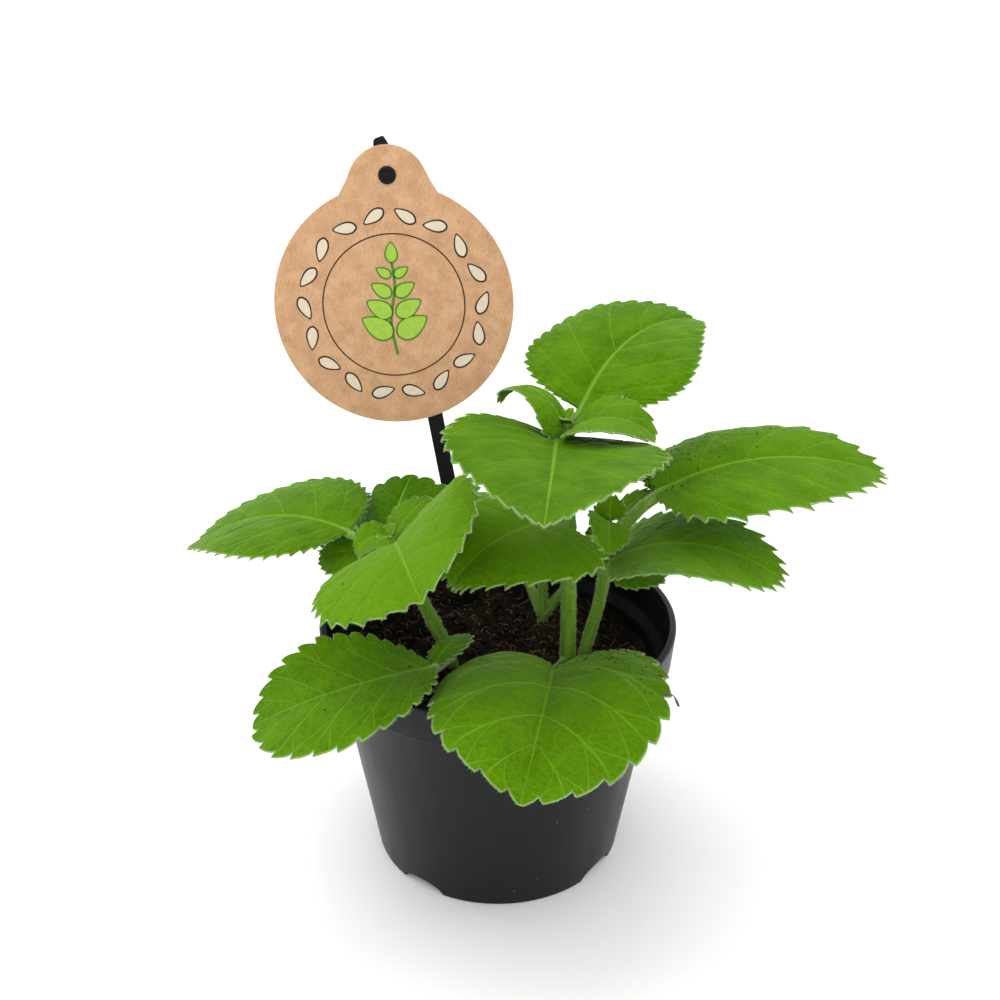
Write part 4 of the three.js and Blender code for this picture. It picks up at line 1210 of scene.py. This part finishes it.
def makeMotif():
    dark, pale, green, deep = Piece(), Piece(), Piece(), Piece()
    r = motif["lineRadius"]
    addPrint(dark, circle((0, 0), r, 120), holes=[roundHole((0, 0), r - 0.45, 120)])
    for k in range(motif["ringLeaves"]):
        turn = 2 * math.pi * k / motif["ringLeaves"]
        spot = motif["ringRadius"] * np.array([math.cos(turn), math.sin(turn)])
        lean = turn + math.pi / 2 + (0.42 if k % 2 else -0.42)
        addLeafPrint(dark, pale, spot, lean, (8.6, 4.3), (7.3, 3.2))
    stem = smoothLine([(0.5, -17, 0), (-1.2, -6, 0), (0.6, 6, 0), (0, 15, 0)], 24)[:, :2]
    side = leftOf(unit(np.gradient(stem, axis=0))) * 0.5
    addPrint(deep, np.vstack([stem - side, (stem + side)[::-1]]))
    for k, height in enumerate((-11, -4, 3, 9.5)):
        size = 12.5 - 2.1 * k
        for hand in (-1, 1):
            turn = math.pi / 2 - hand * 1.02
            spot = np.array([0, height]) + size * 0.56 * np.array([math.cos(turn), math.sin(turn)])
            addLeafPrint(deep, green, spot, turn, (size, size * 0.62), (size - 1.3, size * 0.62 - 1.2))
    addLeafPrint(deep, green, (0, 18), math.pi / 2, (7.5, 4.6), (6.3, 3.5))
    inks = (
        ("dark", dark, "brown_ink", (0.022, 0.014, 0.010), (0.05, 0.03, 0.022), 0.8),
        ("pale", pale, "cream_ink", (0.60, 0.50, 0.38), (0.74, 0.65, 0.52), 0.8),
        ("green", green, "green_ink", (0.22, 0.42, 0.03), (0.42, 0.60, 0.08), 0.7),
        ("deep", deep, "leaf_ink", (0.05, 0.16, 0.02), (0.10, 0.24, 0.03), 0.75),
    )
    for name, piece, *ink in inks:
        piece.build("print_" + name, inkFinish(*ink), "card", sharp=30)


makeMotif()
print("label done")

# Stage: one pale sheet that the pot stands on
wide = 40  # metres from the middle to an edge, so that no edge shows
floorMesh = bpy.data.meshes.new("floor")
floorMesh.from_pydata([(-wide, -wide, 0), (wide, -wide, 0), (wide, wide, 0), (-wide, wide, 0)], [], [(0, 1, 2, 3)])
floor = addObject("floor", floorMesh)
floorFinish = Finish("pale_floor", 0.7, Specular_IOR_Level=0.2)
floorMesh.materials.append(floorFinish.finish((0.95, 0.95, 0.945, 1)))

# Studio light all round, dimmer from the side that the camera looks from
tent = {"bright": 1.22, "dim": 0.70, "towards": (0, -0.97, 0.24), "from": 0.20, "to": 0.80}
world = bpy.data.worlds.new("studio")
world.use_nodes = True
bpy.context.scene.world = world
nodes, links = world.node_tree.nodes, world.node_tree.links
facing = nodes.new("ShaderNodeVectorMath")
facing.operation = "DOT_PRODUCT"
facing.inputs[1].default_value = tent["towards"]
fade = nodes.new("ShaderNodeMapRange")
fade.interpolation_type = "SMOOTHSTEP"
for socket, value in zip(fade.inputs[1:5], (tent["from"], tent["to"], tent["bright"], tent["dim"])):
    socket.default_value = value
links.new(nodes.new("ShaderNodeTexCoord").outputs["Generated"], facing.inputs[0])
links.new(facing.outputs["Value"], fade.inputs[0])
links.new(fade.outputs[0], nodes["Background"].inputs["Strength"])
nodes["Background"].inputs["Color"].default_value = (1, 1, 1, 1)


def addSun(name, towards, softness, strength):
    data = bpy.data.lights.new(name, "SUN")
    data.angle = math.radians(softness)
    data.energy = strength
    obj = addObject(name, data)
    obj.location = towards
    obj.rotation_euler = (math.atan2(math.hypot(towards[0], towards[1]), towards[2]), 0,
                          math.atan2(towards[0], -towards[1]))


addSun("softbox", (-0.36, 0.26, 1.0), 60, 1.2)
addSun("front_fill", (0.1, -0.9, 0.75), 60, 1.0)
print("stage done")
